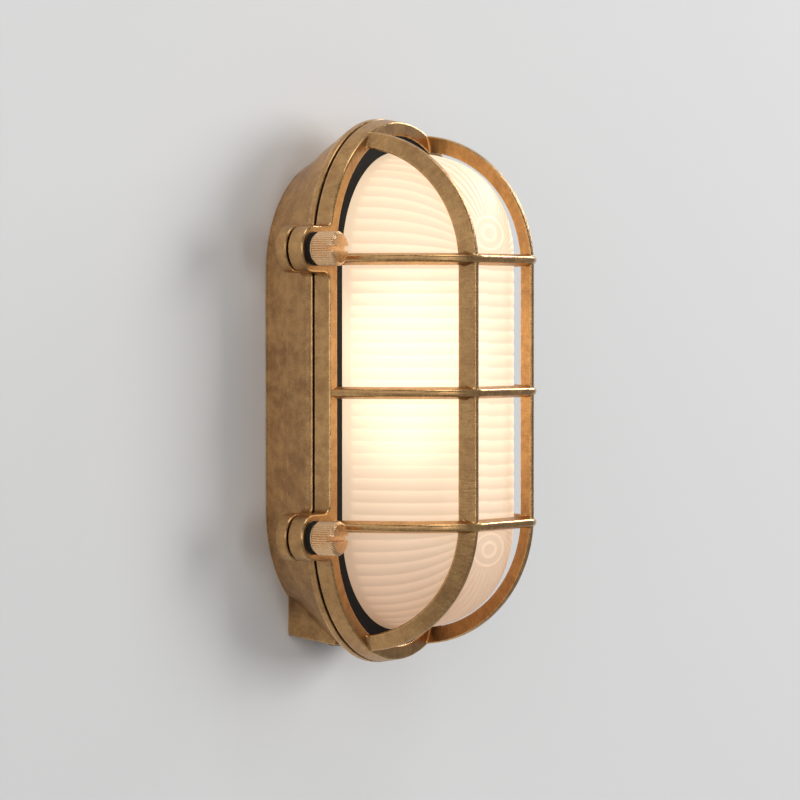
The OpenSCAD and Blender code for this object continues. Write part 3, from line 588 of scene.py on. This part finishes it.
def plain(name, colour, roughness, grain, metallic=0.0, depth=0.15):
    """A moulded, plated or glazed finish: one colour that varies a little, with grain spots in a metre."""
    made, tree, shader, at = blank(name)
    spots = noise(tree, at, grain)
    dark = tuple(c * 0.82 for c in colour)
    tree.links.new(blend(tree, spots, dark, tuple(colour)), shader.inputs["Base Color"])
    tree.links.new(spread(tree, spots, 0.0, 1.0, roughness, roughness + 0.12), shader.inputs["Roughness"])
    bump = add(tree, "ShaderNodeBump", {"Height": spots, "Strength": depth, "Distance": 0.0001})
    tree.links.new(bump.outputs[0], shader.inputs["Normal"])
    shader.inputs["Metallic"].default_value = metallic
    return made


def lit_lamp():
    """Opal lamp, lit: the globe glows warm white and the cap stays dark."""
    made, tree, shader, at = blank("Opal lamp glass, lit")
    up = add(tree, "ShaderNodeSeparateXYZ", {0: at}).outputs["Z"]
    # The cap's upper end lies 32 mm under the middle, and the glow starts just above it.
    globe = spread(tree, up, -0.031, -0.029, 0.0, 1.0)
    tree.links.new(sums(tree, "MULTIPLY", globe, 4.0), shader.inputs["Emission Strength"])
    shader.inputs["Emission Color"].default_value = rgba(linear("#FFF1DC"))
    shader.inputs["Base Color"].default_value = rgba(linear("#EFEAE0"))
    shader.inputs["Roughness"].default_value = 0.3
    return made


def frosted_glass(f, g):
    """Pressed glass, etched inside, with the lamp's light through it painted on as a glow: white by the lamp
    and peach far from it.

    The moulded rings are ellipses round (0, eye_z) at each end: q = |(x / a, (|z| - eye) / b)|, raised where
    q is near 1 and near 0.45.
    """
    made, tree, shader, at = blank("Frosted pressed glass")
    parts = add(tree, "ShaderNodeSeparateXYZ", {0: at}).outputs
    # The painted rib highlight, kept in the glass mesh's wear values.
    rib = attribute(tree, "wear_and_rib_highlight")
    side = sums(tree, "DIVIDE", parts["X"], g.eye_across)
    above = sums(tree, "SUBTRACT", sums(tree, "ABSOLUTE", parts["Z"]), g.eye_z)
    above = sums(tree, "DIVIDE", above, g.eye_along)
    q = sums(tree, "SQRT", sums(tree, "MULTIPLY_ADD", side, side, sums(tree, "MULTIPLY", above, above)))
    # An outer and an inner ring, each as its place in q and half its width.
    outer, inner = (
        spread(tree, sums(tree, "ABSOLUTE", sums(tree, "SUBTRACT", q, place)), 0.0, width, 1.0, 0.0)
        for place, width in ((1.0, 0.13), (0.45, 0.16))
    )
    rings = sums(tree, "MAXIMUM", outer, inner)
    # Etched grain of 0.5 mm.
    etch = noise(tree, at, 2000.0, 2.0)
    height = sums(tree, "MULTIPLY_ADD", rings, 2.0, sums(tree, "MULTIPLY", etch, 0.12))
    bump = add(tree, "ShaderNodeBump", {"Height": height, "Strength": 0.5, "Distance": 0.0002})
    tree.links.new(bump.outputs[0], shader.inputs["Normal"])
    # The painted glow's colour by the distance from the lamp's globe: 45 mm is the ramp's start and 125 mm
    # its end.
    globe = (0.0, -0.040, 0.028)
    away = add(tree, "ShaderNodeVectorMath", {0: at, 1: globe}, operation="DISTANCE").outputs["Value"]
    far = sums(tree, "MULTIPLY_ADD", away, 12.5, -0.5625)
    ramp = add(tree, "ShaderNodeValToRGB", {"Fac": far})
    stops = (
        (0.0, (0.55, 0.43, 0.31)),
        (1.0, (0.25, 0.15, 0.09)),
        (0.22, (0.55, 0.43, 0.30)),
        (0.42, (0.48, 0.36, 0.25)),
        (0.8, (0.34, 0.225, 0.15)),
    )
    # A new ramp already has its two end stops.
    for k, (place, colour) in enumerate(stops):
        stop = ramp.color_ramp.elements[k] if k < 2 else ramp.color_ramp.elements.new(place)
        stop.position, stop.color = place, rgba(colour)
    # Painted highlight: the glow is raised along each rib's upper edge, which the glass mesh keeps in its
    # wear values, and all over the rings.
    glow = sums(tree, "MULTIPLY_ADD", sums(tree, "MAXIMUM", rib, rings), 0.42, 0.90)
    tree.links.new(ramp.outputs["Color"], shader.inputs["Emission Color"])
    tree.links.new(glow, shader.inputs["Emission Strength"])
    shader.inputs["Base Color"].default_value = rgba(f.glass)
    shader.inputs["Transmission Weight"].default_value = 0.55
    shader.inputs["Roughness"].default_value = 0.5
    shader.inputs["IOR"].default_value = 1.5
    return made


def finishes():
    """All materials by the record's slots, made once."""
    scene = bpy.context.scene
    f = scene.light_finishes
    made = {m.get("finish_of"): m for m in bpy.data.materials if m.get("finish_of")}
    if not made:
        made = {
            "cast_brass": cast_brass(f),
            "turned_brass": turned_brass(f),
            "frosted_glass": frosted_glass(f, scene.light_glass),
            "black_rubber": plain("Nitrile rubber", tuple(f.rubber), 0.80, 900.0, depth=0.3),
            "black_nylon": plain("Moulded black nylon", linear("#1B1B1D"), 0.38, 700.0),
            "white_nylon": plain("Moulded white nylon", linear("#E4E1D8"), 0.35, 700.0),
            "zinc_steel": plain("Zinc-plated steel", linear("#B9BDC1"), 0.28, 500.0, metallic=1.0),
            "porcelain": plain("Glazed porcelain", linear("#EDEAE0"), 0.12, 300.0, depth=0.05),
            "opal_lamp": lit_lamp(),
            "brown_wire": plain("Brown wire insulation", linear("#6A4024"), 0.40, 800.0),
            "blue_wire": plain("Blue wire insulation", linear("#2C5FA8"), 0.40, 800.0),
            "green_wire": plain("Green wire insulation", linear("#6E9A2F"), 0.40, 800.0),
        }
        for key, material in made.items():
            material["finish_of"] = key
    return made


# Operators


class WALLLIGHT_OT_finishes(bpy.types.Operator):
    """Gives each solid of the light the finish of its slot"""

    bl_idname = "walllight.finishes"
    bl_label = "Finish the solids"

    def execute(self, context):
        made = finishes()
        slots = {part["node"]: part["material_slot"] for part in frame["record"]["subparts"]}
        for name, solid in frame["nodes"].items():
            solid.data.materials.clear()
            solid.data.materials.append(made[slots[name]])
        return {"FINISHED"}


class WALLLIGHT_OT_guard(bpy.types.Operator):
    """Builds the guard casting: the rim with its ears, the two bars and the three hoops"""

    bl_idname = "walllight.guard"
    bl_label = "Guard casting"

    def execute(self, context):
        s, g = context.scene.light_casting, context.scene.light_guard
        lip_back = RIM_FRONT - s.lip
        hidden = 0.0003
        front = s.rim_radius - s.rim_draft
        opening = front - s.rim_face
        profile, wear_and_rib_highlight = rounded(
            [
                [s.recess, RIM_BACK],
                [s.rim_radius, RIM_BACK],
                [front, RIM_FRONT],
                [opening, RIM_FRONT],
                [opening, lip_back],
                [s.recess, lip_back],
            ],
            [0.0002, s.edge * 0.6, s.edge, s.edge, hidden, hidden],
        )
        shells = [shell(round_obround(profile, rest(s)), wear_and_rib_highlight, close_rows=True)]
        rings, bore, wear = ear_block(s, front, RIM_BACK, RIM_FRONT, s.edge, s.shank_hole)
        for sx, sz in EARS:
            shells.append(pierced(mirrored(rings, sx, sz), mirrored(bore, sx, sz), wear))
        shells += [shell(*self.bar(g, side)) for side in (-1, 1)]
        shells += [shell(*self.hoop(s, g, row)) for row in (-1, 0, 1)]
        nodes = ["guard_frame", "guard_cage"]
        piece("guard_casting", shells, finishes()["cast_brass"], "guard", nodes)
        return {"FINISHED"}

    def bar(self, g, side):
        """A rounded leaning section carried along a straight with a quarter circle at each end.

        A point is (x, +-(c + r cos a), d + r sin a), where r and x are the section's own and a goes from
        just inside the rim to 90 degrees. Near the rim and the hoops the section swells by the fillet.
        """
        half, inner = g.bar_width / 2, g.bend - g.bar_depth
        edge = 0.0006
        section, wear_and_rib_highlight = rounded(
            [
                [g.bend, g.bar_x - half],
                [g.bend, g.bar_x + half],
                [inner, g.bar_x + half + g.bar_lean],
                [inner, g.bar_x - half + g.bar_lean],
            ],
            edge,
        )
        centre = HALF_HEIGHT - g.bend_inset - g.bend
        out = g.front - g.bend
        sunk = 0.0012
        foot = math.asin((RIM_FRONT - sunk - out) / g.bend)
        # Short steps near the rim, where the section swells, and longer ones round the rest of the bend.
        near, beyond = foot + 0.06, foot + 0.07
        bend = np.concatenate([np.linspace(foot, near, 12), np.linspace(beyond, np.pi / 2, 44)])
        steps = np.linspace(centre, -centre, 90)[1:-1]
        angle = np.concatenate([bend, np.full(len(steps), np.pi / 2), bend[::-1]])
        middle = np.concatenate([np.full(len(bend), centre), steps, np.full(len(bend), -centre)])
        end = np.concatenate([np.ones(len(bend)), np.zeros(len(steps)), -np.ones(len(bend))])
        r, x = section[:, 0], section[:, 1]
        up = middle[:, None] + end[:, None] * np.cos(angle)[:, None] * r
        depth = out + np.sin(angle)[:, None] * r
        swell = fillet(depth - RIM_FRONT, g.fillet)
        lean = g.bar_x + g.bar_lean * (g.bend - r) / g.bar_depth
        across = side * (x + np.sign(x - lean) * swell)
        line = np.stack([middle + end * np.cos(angle) * g.bend, out + np.sin(angle) * g.bend], -1)
        return np.stack([np.broadcast_to(across, up.shape), up, depth], -1), wear_and_rib_highlight, length_along(line)[:, None]

    def hoop(self, s, g, row):
        """A rounded section along a flat crown and a superellipse down to the rim on each side.

        A section point lies q to the path's inner side and b along the light. Beside a bar it moves outward
        by the fillet r - sqrt(r^2 - (r - gap)^2), where gap is its distance from the bar's leaning side.
        """
        front, back, deep = g.hoop_front / 2, g.hoop_back / 2, g.hoop_depth
        round_front, round_back = 0.0013, 0.0005
        section, wear_and_rib_highlight = rounded(
            [[0, -front], [deep, -back], [deep, back], [0, front]],
            [round_front, round_back, round_back, round_front],
            7,
        )
        q, b = section[:, 0], section[:, 1]
        b = b - row * g.hoop_lean * q / deep
        start = RIM_FRONT - 0.0009
        half = s.rim_radius - s.rim_draft - g.hoop_in
        crown = g.front + g.hoop_proud
        side = superellipse(half - g.hoop_flat, crown - start, g.hoop_power, 200) + [g.hoop_flat, start]
        path = np.concatenate([side, side[::-1] * [-1, 1]])
        # Steps all along, and shorter ones in the first 4 mm at the rim and beside the bars.
        total, by_rim = length_along(path)[-1], np.linspace(0, 0.004, 24)
        stops = [np.linspace(0, total, 130), by_rim, total - by_rim]
        for x in (-1, 1):
            by_bar = total / 2 + x * np.array([g.bar_x - 0.004, g.bar_x + 0.007])
            stops.append(np.linspace(by_bar.min(), by_bar.max(), 80))
        path = resampled(path, np.unique(np.round(np.concatenate(stops), 5)))
        ahead = np.gradient(path, axis=0)
        ahead /= np.linalg.norm(ahead, axis=1)[:, None]
        inward = np.stack([-ahead[:, 1], ahead[:, 0]], -1)
        across = path[:, 0:1] + inward[:, 0:1] * q
        depth = path[:, 1:2] + inward[:, 1:2] * q
        bar = g.bar_x + g.bar_lean * (g.front - depth) / g.bar_depth
        gap = np.abs(np.abs(across) - bar) - g.bar_width / 2
        # The fillet fades out at the bar's front and back edges.
        fade_front, fade_back = 0.0008, 0.0005
        near = np.clip((g.front - depth) / fade_front, 0, 1)
        near = near * np.clip((depth - g.front + g.bar_depth) / fade_back, 0, 1)
        swell = fillet(np.where(gap < 0, 0, gap), g.fillet) * near + fillet(depth - RIM_FRONT, g.fillet)
        up = row * g.hoop_z + b + np.sign(section[:, 1]) * swell
        return np.stack([across, up, depth], -1), wear_and_rib_highlight, np.zeros((len(path), 1))


class WALLLIGHT_OT_base(bpy.types.Operator):
    """Builds the skin of the base casting over its solid"""

    bl_idname = "walllight.base"
    bl_label = "Base casting"

    def execute(self, context):
        s = context.scene.light_casting
        shells = [self.side(s)]
        back, edge = JOINT - s.ear_depth, 0.00065
        root = base_outline(s, back)[0]
        rings, bore, wear = ear_block(s, root, back, JOINT, edge, s.thread_hole, s.skin)
        taper = self.taper(s)
        for sx, sz in EARS:
            shells.append(pierced(mirrored(rings, sx, sz), mirrored(bore, sx, sz), wear))
            shells.append(shell(mirrored(taper, sx, sz)))
        shells.append(self.boss(s))
        piece("base_skin", shells, finishes()["cast_brass"], "base")
        piece("gland_nut", [self.nut(s)], finishes()["black_nylon"], "base")
        return {"FINISHED"}

    def nut(self, s):
        """The nut that closes the gland, turned about the entry's axis and open for the cable."""
        low, high = -s.boss_end - 0.0058, -s.boss_end + 0.0004
        chamfer_in, chamfer_up, edge = 0.0012, 0.0015, 0.0003
        corners = [
            [s.cable, low],
            [s.nut - chamfer_in, low],
            [s.nut, low + chamfer_up],
            [s.nut, high],
            [s.cable, high],
        ]
        reach, up = rounded(corners, edge)[0].T
        turn = np.linspace(0, 2 * np.pi, 97)[:-1, None]
        across, out = np.cos(turn) * reach, s.entry_depth + np.sin(turn) * reach
        return shell(np.stack([across, np.broadcast_to(up, across.shape), out], -1), close_rows=True)

    def side(self, s):
        """The side wall's skin, round the base from the wall to the joint."""
        foot = base_outline(s, 0.0)[0]
        step = base_outline(s, s.step_depth)[0]
        land = JOINT - s.land
        # How thick the skin is at the wall and at the joint, and how far its back stands behind the solid.
        under, behind = 0.0012, -0.00002
        outer, wear_and_rib_highlight = rounded(
            [
                [foot - under, behind],
                [foot, behind],
                [foot, s.foot_depth],
                [step - s.step_width, s.step_depth],
                [step, s.step_depth],
                [s.rim_radius, land],
                [s.rim_radius, JOINT + s.skin],
                [s.rim_radius - under, JOINT + s.skin],
                [s.rim_radius - under - 0.0006, land],
                [foot - under, s.foot_depth],
            ],
            [0.0001, 0.0003, 0.002, 0.0004, 0.0004, 0.004, 0.0006, 0.0001, 0.0001, 0.0001],
        )
        # The straight length grows with the radius.
        straight = base_outline(s, outer[:, 1])[1]
        outer[:, 0] += s.skin
        return shell(round_obround(outer, straight), wear_and_rib_highlight, close_rows=True)

    def taper(self, s):
        """The cone behind a base ear: circles between the ear's and a small one that lies in the wall.

        At share t the circle has the middle and radius of the two at share t. What would stand inside the
        base is held 1 mm under its side, and a fillet spreads the cone where it meets the side.
        """
        top, ear_back = JOINT - OVERLAP, JOINT - s.ear_depth
        t = np.concatenate([[-(top - ear_back) / (ear_back - s.fade_depth)], np.linspace(0, 1, 40)])
        k = np.clip(t, 0, 1)
        end_x = base_side(s, s.fade_depth, 0.0) + s.skin - s.fade_radius
        centre = s.ear_x + (end_x - s.ear_x) * k
        radius = s.ear_radius + (s.fade_radius - s.ear_radius) * k + s.skin - APART
        depth = (ear_back - t * (ear_back - s.fade_depth))[:, None]
        turn = np.linspace(0, 2 * np.pi, 121)[:-1]
        across = centre[:, None] + radius[:, None] * np.cos(turn)
        up = s.ear_z + radius[:, None] * np.sin(turn)
        wall = base_side(s, depth, up)
        flare = 0.003
        up = up + np.sin(turn) * fillet(across - wall, flare)
        across = np.maximum(across, base_side(s, depth, up) - OVERLAP)
        return np.stack([across, up, np.broadcast_to(depth, up.shape)], -1)

    def boss(self, s):
        """The squared pad of the cable entry: a rounded outline with a slanting end and the gland's hole.

        Its end slants from boss_end at the wall by boss_slope to its front. Its upper end follows the side
        of the base, 1 mm under it.
        """
        half, deep = s.boss_half + s.skin, s.boss_depth + s.skin
        back, sharp, soft, edge = 0.0002, 0.0001, 0.0007, 0.0006
        corners = [[-half, back], [half, back], [half, deep], [-half, deep]]
        outline, wear_and_rib_highlight = rounded(corners, [sharp, sharp, soft, soft])
        radius, straight = base_outline(s, outline[:, 1])
        inside = -(straight + np.sqrt(radius**2 - outline[:, 0] ** 2)) + OVERLAP
        slant = s.boss_slope / s.boss_depth
        a = np.linspace(0, np.pi / 2, 5)
        rings = [np.column_stack([outline[:, 0], inside, outline[:, 1]])]
        for cut, back in zip(edge * (1 - np.cos(a)), edge * (1 - np.sin(a))):
            ring = drawn_in(outline, cut)
            end = -(s.boss_end + s.skin + ring[:, 1] * slant) + back
            rings.append(np.column_stack([ring[:, 0], end, ring[:, 1]]))
        # The spotface goes down to just above the solid's end.
        sides, floor = 48, -s.boss_end + 0.0001
        turn = np.linspace(0, 2 * np.pi, sides + 1)[:-1]
        x, p = s.entry_radius * np.cos(turn), s.entry_depth + s.entry_radius * np.sin(turn)
        ends = (-(s.boss_end + s.skin + p * slant), np.full(sides, floor))
        hole = [np.column_stack([x, end, p]) for end in ends]
        wear = np.concatenate([[0], np.sin(2 * a)])[:, None]
        return pierced(np.array(rings), np.array(hole), np.maximum(wear, wear_and_rib_highlight * 0.8), axes=(0, 2))


class WALLLIGHT_OT_glass(bpy.types.Operator):
    """Builds the ribbed glass dome with its flange"""

    bl_idname = "walllight.glass"
    bl_label = "Glass dome"

    def execute(self, context):
        s, g = context.scene.light_casting, context.scene.light_glass
        shells = [self.dome(s, g)]
        piece("glass_shell", shells, finishes()["frosted_glass"], "guard", ["glass_dome"])
        return {"FINISHED"}

    def dome(self, s, g):
        """One section carried round the obround, with ribs cut into its outside.

        A rib is an arc 4 t (1 - t) high across its width, t being the share of the way over it. The ribs lie
        level on the straight part and on half planes through the pole (0, +-S) round the ends. They fade
        towards the pole, the moulded rings and the flange.
        """
        top = FLANGE_BACK + g.flange
        outer = superellipse(g.half_width, CROWN - top, g.power, 90) + [0, top]
        inner = superellipse(g.half_width - g.wall, CROWN - top - g.wall, g.power, 24)[::-1] + [0, top]
        outer[-1, 0] = inner[0, 0] = 0.0
        root = 0.0003
        foot = np.array([
            [g.half_width - g.wall, FLANGE_BACK],
            [g.flange_radius, FLANGE_BACK],
            [g.flange_radius, top],
            [g.half_width + root, top],
        ])
        profile = np.concatenate([inner, foot, outer])
        # The dome is shorter than the opening, but its flange is as long as the rim's straight part.
        straight = np.full(len(profile), rest(s) - g.short)
        straight[len(inner) + 1 : len(inner) + 3] = rest(s)
        # Where each column stands: its place on the straight, its direction and its share over its rib.
        per = 8
        t = np.linspace(-1, 1, g.ribs_straight * per + 1)
        a = np.linspace(0, np.pi, g.ribs_end * per + 1)[1:-1]
        one, none = np.ones(len(t)), np.zeros(len(t))
        share = np.concatenate([t, np.ones(len(a)), -t, -np.ones(len(a))])
        dx = np.concatenate([one, np.cos(a), -one, np.cos(a + np.pi)])
        dz = np.concatenate([none, np.sin(a), none, np.sin(a + np.pi)])
        over_t = (np.arange(len(t)) / per) % 1
        over_a = (np.arange(1, len(a) + 1) / per) % 1
        over = np.concatenate([over_t, over_a, over_t, over_a])
        r, depth = profile[:, 0], profile[:, 1]
        across = dx[:, None] * r
        up = share[:, None] * straight + dz[:, None] * r
        # How much of its height a rib has: it fades over 1.5 mm at its foot, and round the rings and poles.
        q = np.hypot(across / g.eye_across, (np.abs(up) - g.eye_z) / g.eye_along)
        foot_fade, ring_start, ring_fade, pole_fade = 0.0015, 1.1, 0.15, 0.75 * g.half_width
        ribbed = np.clip((depth - g.rib_start) / foot_fade, 0, 1)
        ribbed = ribbed * np.clip((q - ring_start) / ring_fade, 0, 1)
        round_end = (np.abs(dz) > 0)[:, None]
        ribbed = ribbed * np.where(round_end, np.clip(r / pole_fade, 0, 1), 1)
        ribbed[:, : len(inner) + len(foot)] = 0
        # The section's own normals, which lean outward and forward.
        ahead = np.gradient(profile, axis=0)
        normal = np.stack([-ahead[:, 1], ahead[:, 0]], -1)
        normal /= np.maximum(np.linalg.norm(normal, axis=1), 1e-9)[:, None]
        normal *= np.sign(normal[:, 1:2] + 1e-12)
        normal[-1] = [0, 1]
        arc = 4 * over * (1 - over)
        lift = g.rib_height * (arc[:, None] - 1) * ribbed
        reach = r + normal[:, 0] * lift
        up = share[:, None] * straight + dz[:, None] * reach
        grid = np.stack([dx[:, None] * reach, up, depth + normal[:, 1] * lift], -1)
        # Painted highlight: the upper side of each rib is painted brighter, more and more towards its edge,
        # and goes into the shell's wear values.
        lit = np.where(dx > 0, over, 1 - over)[:, None] ** 1.6 * ribbed
        return shell(grid, lit, 0.0, close_rows=True, close_columns=False)


class WALLLIGHT_OT_screws(bpy.types.Operator):
    """Builds the four knurled thumbscrews"""

    bl_idname = "walllight.screws"
    bl_label = "Thumbscrews"

    def execute(self, context):
        s, k = context.scene.light_casting, context.scene.light_screw
        for sx, sz in EARS:
            key = ("lower", "", "upper")[sz + 1] + "_" + ("left", "", "right")[sx + 1]
            low, high = (-corner.y for corner in reversed(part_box("thumbscrew_" + key)))
            shells = [self.body(k, low, high), self.lug(k, high, 1), self.lug(k, high, -1)]
            middle = np.array([sx * s.ear_x, sz * s.ear_z, 0.0])
            shells = [shell(points + middle, wear_and_rib_highlight, facets=True) for points, wear_and_rib_highlight in shells]
            name, brass = "thumbscrew_" + key, finishes()["turned_brass"]
            piece(name + "_turned", shells, brass, "screw_" + key, [name])
        return {"FINISHED"}

    def ridges(self, k, turn):
        """Radius of the knurl at each angle: r - d (1 - |sin(n a / 2)|), with n ridges d deep."""
        return k.knob - k.knurl * (1 - np.abs(np.sin(k.teeth * turn / 2)))

    def body(self, k, low, high):
        """The shank and the knob up to the slot's floor, turned about the screw's axis."""
        seat, floor = RIM_FRONT + k.washer, high - k.slot_depth
        tip, collar, slope = 0.0006, 0.0008, 0.0005
        profile = np.array([
            [k.shank - tip, low],
            [k.shank, low + tip],
            [k.shank, seat],
            [k.neck, seat],
            [k.neck, seat + collar],
            [k.knob, seat + collar + slope],
            [k.knob, floor],
        ])
        turn = np.linspace(0, 2 * np.pi, k.teeth * 8 + 1)[:-1]
        knurled = profile[:, :1] >= k.knob
        radius = np.where(knurled, self.ridges(k, turn), profile[:, :1])
        depth = np.broadcast_to(profile[:, 1:], radius.shape)
        points = np.stack([radius * np.cos(turn), radius * np.sin(turn), depth], -1)
        return points, knurled * 0.35

    def lug(self, k, high, side):
        """The knob on one side of the slot: what lies beyond the chord at half the slot's width.

        It starts a little under the slot's floor and ends in the chamfer and the face.
        """
        half, sunk = k.slot_width / 2, 0.0002
        levels = (
            (k.knob, high - k.slot_depth - sunk),
            (k.knob, high - k.chamfer),
            (k.face, high),
        )
        points = []
        for radius, depth in levels:
            first = math.asin(half / radius)
            turn = np.linspace(first, np.pi - first, k.teeth * 4 + 1)
            reach = self.ridges(k, turn) if radius == k.knob else np.full(len(turn), radius)
            up = side * np.maximum(reach * np.sin(turn), half)
            points.append(np.stack([reach * np.cos(turn), up, np.full(len(turn), depth)], -1))
        return np.array(points), np.array([[0.0], [1.0], [1.0]])


class WALLLIGHT_OT_stage(bpy.types.Operator):
    """Builds the wall behind the light, the studio lamps and the camera"""

    bl_idname = "walllight.stage"
    bl_label = "Wall, lamps and camera"

    def execute(self, context):
        s = context.scene.light_stage
        self.wall(s)
        # The key lays the shadow and the fill softens it. The metal mirrors neither, only the other boxes.
        self.lamp("key", (2.75, -3.0, 0.50), (1.9, 1.9), 92.0, glossy=False)
        self.lamp("fill", (-2.7, -1.3, 0.5), (2.2, 2.2), 30.0, glossy=False)
        self.lamp("left", (-2.7, -1.1, 0.7), (1.6, 1.6), 8.0)
        self.lamp("front_left", (-1.0, -2.0, 0.1), (0.5, 0.9), 5.0)
        self.lamp("right", (2.0, -0.45, 0.9), (0.3, 1.0), 14.0)
        self.lamp("top", (0.0, -0.7, 1.6), (0.7, 0.7), 5.0)
        self.lamp("back", (0.0, 1.6, 0.2), (1.2, 1.2), 8.0)
        world = context.scene.world or bpy.data.worlds.new("Studio")
        context.scene.world = world
        world.use_nodes = True
        sky = world.node_tree.nodes["Background"].inputs
        sky["Color"].default_value = (0.8, 0.8, 0.8, 1.0)
        sky["Strength"].default_value = 0.34
        a, e = s.azimuth, s.elevation
        back = Vector((math.sin(a) * math.cos(e), -math.cos(a) * math.cos(e), math.sin(e)))
        lens = bpy.data.cameras.new("camera")
        lens.lens, lens.sensor_width = s.lens, 36.0
        # The light lies a few pixels off the middle of the picture, which is 800 pixels wide.
        picture, aside, above = 800, 8.5, 9.0
        lens.shift_x, lens.shift_y = -aside / picture, -above / picture
        camera = bpy.data.objects.new("camera", lens)
        camera.location = TARGET + back * s.distance
        camera.rotation_euler = back.to_track_quat("Z", "Y").to_euler()
        context.scene.collection.objects.link(camera)
        context.scene.camera = camera
        context.scene.view_settings.view_transform = "Standard"
        return {"FINISHED"}

    def wall(self, s):
        """A plastered wall just behind the light. From behind and for shadow rays it is clear."""
        half, y = 4.0, 0.0006
        corners = [(-half, y, -half), (half, y, -half), (half, y, half), (-half, y, half)]
        mesh = bpy.data.meshes.new("wall")
        mesh.from_pydata(corners, [], [(0, 1, 2, 3)])
        made, tree, shader, at = blank("Painted plaster")
        # Trowel marks of 6 mm.
        trowel = noise(tree, at, 160.0, 4.0)
        bump = add(tree, "ShaderNodeBump", {"Height": trowel, "Strength": 0.1, "Distance": 0.0005})
        tree.links.new(bump.outputs[0], shader.inputs["Normal"])
        shader.inputs["Base Color"].default_value = rgba(s.wall)
        shader.inputs["Roughness"].default_value = 0.8
        behind = add(tree, "ShaderNodeNewGeometry").outputs["Backfacing"]
        shadow = add(tree, "ShaderNodeLightPath").outputs["Is Shadow Ray"]
        clear = add(tree, "ShaderNodeBsdfTransparent")
        share = sums(tree, "MAXIMUM", behind, shadow)
        mix = add(tree, "ShaderNodeMixShader", {0: share, 1: shader.outputs[0], 2: clear.outputs[0]})
        tree.links.new(mix.outputs[0], tree.nodes["Material Output"].inputs["Surface"])
        mesh.materials.append(made)
        wall = bpy.data.objects.new("wall", mesh)
        bpy.context.scene.collection.objects.link(wall)

    def lamp(self, name, place, sides, power, glossy=True):
        """A soft box that faces the light, of this width and height."""
        data = bpy.data.lights.new(name, "AREA")
        data.shape, data.size, data.size_y, data.energy = "RECTANGLE", *sides, power
        lamp = bpy.data.objects.new(name, data)
        lamp.location = place
        lamp.rotation_euler = (Vector(place) - TARGET).to_track_quat("Z", "Y").to_euler()
        lamp.visible_glossy = glossy
        bpy.context.scene.collection.objects.link(lamp)


class WALLLIGHT_PT_panel(bpy.types.Panel):
    """Sizes, finishes and pieces of the wall light"""

    bl_label = "Wall light"
    bl_space_type = "VIEW_3D"
    bl_region_type = "UI"
    bl_category = "Wall light"

    def draw(self, context):
        for name in GROUPS:
            group = getattr(context.scene, name)
            box = self.layout.box()
            for key in group.__annotations__:
                box.prop(group, key)
        for operator in OPERATORS:
            self.layout.operator(operator.bl_idname)


GROUPS = {
    "light_casting": CastingSizes,
    "light_guard": GuardSizes,
    "light_glass": GlassSizes,
    "light_screw": ScrewSizes,
    "light_finishes": Finishes,
    "light_stage": StageSettings,
}
OPERATORS = (
    WALLLIGHT_OT_finishes,
    WALLLIGHT_OT_guard,
    WALLLIGHT_OT_base,
    WALLLIGHT_OT_glass,
    WALLLIGHT_OT_screws,
    WALLLIGHT_OT_stage,
)


def register():
    """Makes the settings, the operators and the panel known to the program."""
    for name, group in GROUPS.items():
        bpy.utils.register_class(group)
        setattr(bpy.types.Scene, name, bpy.props.PointerProperty(type=group))
    for kind in (*OPERATORS, WALLLIGHT_PT_panel):
        bpy.utils.register_class(kind)


def unregister():
    """Takes them all out again."""
    for kind in reversed((*OPERATORS, WALLLIGHT_PT_panel)):
        bpy.utils.unregister_class(kind)
    for name, group in GROUPS.items():
        delattr(bpy.types.Scene, name)
        bpy.utils.unregister_class(group)


def corners(box):
    """A box's two corners as plain lists."""
    return [[float(v) for v in corner] for corner in box]


def main():
    """Builds every piece and the stage."""
    register()
    for operator in OPERATORS:
        group, name = operator.bl_idname.split(".")
        getattr(getattr(bpy.ops, group), name)()


if __name__ == "__main__":
    main()
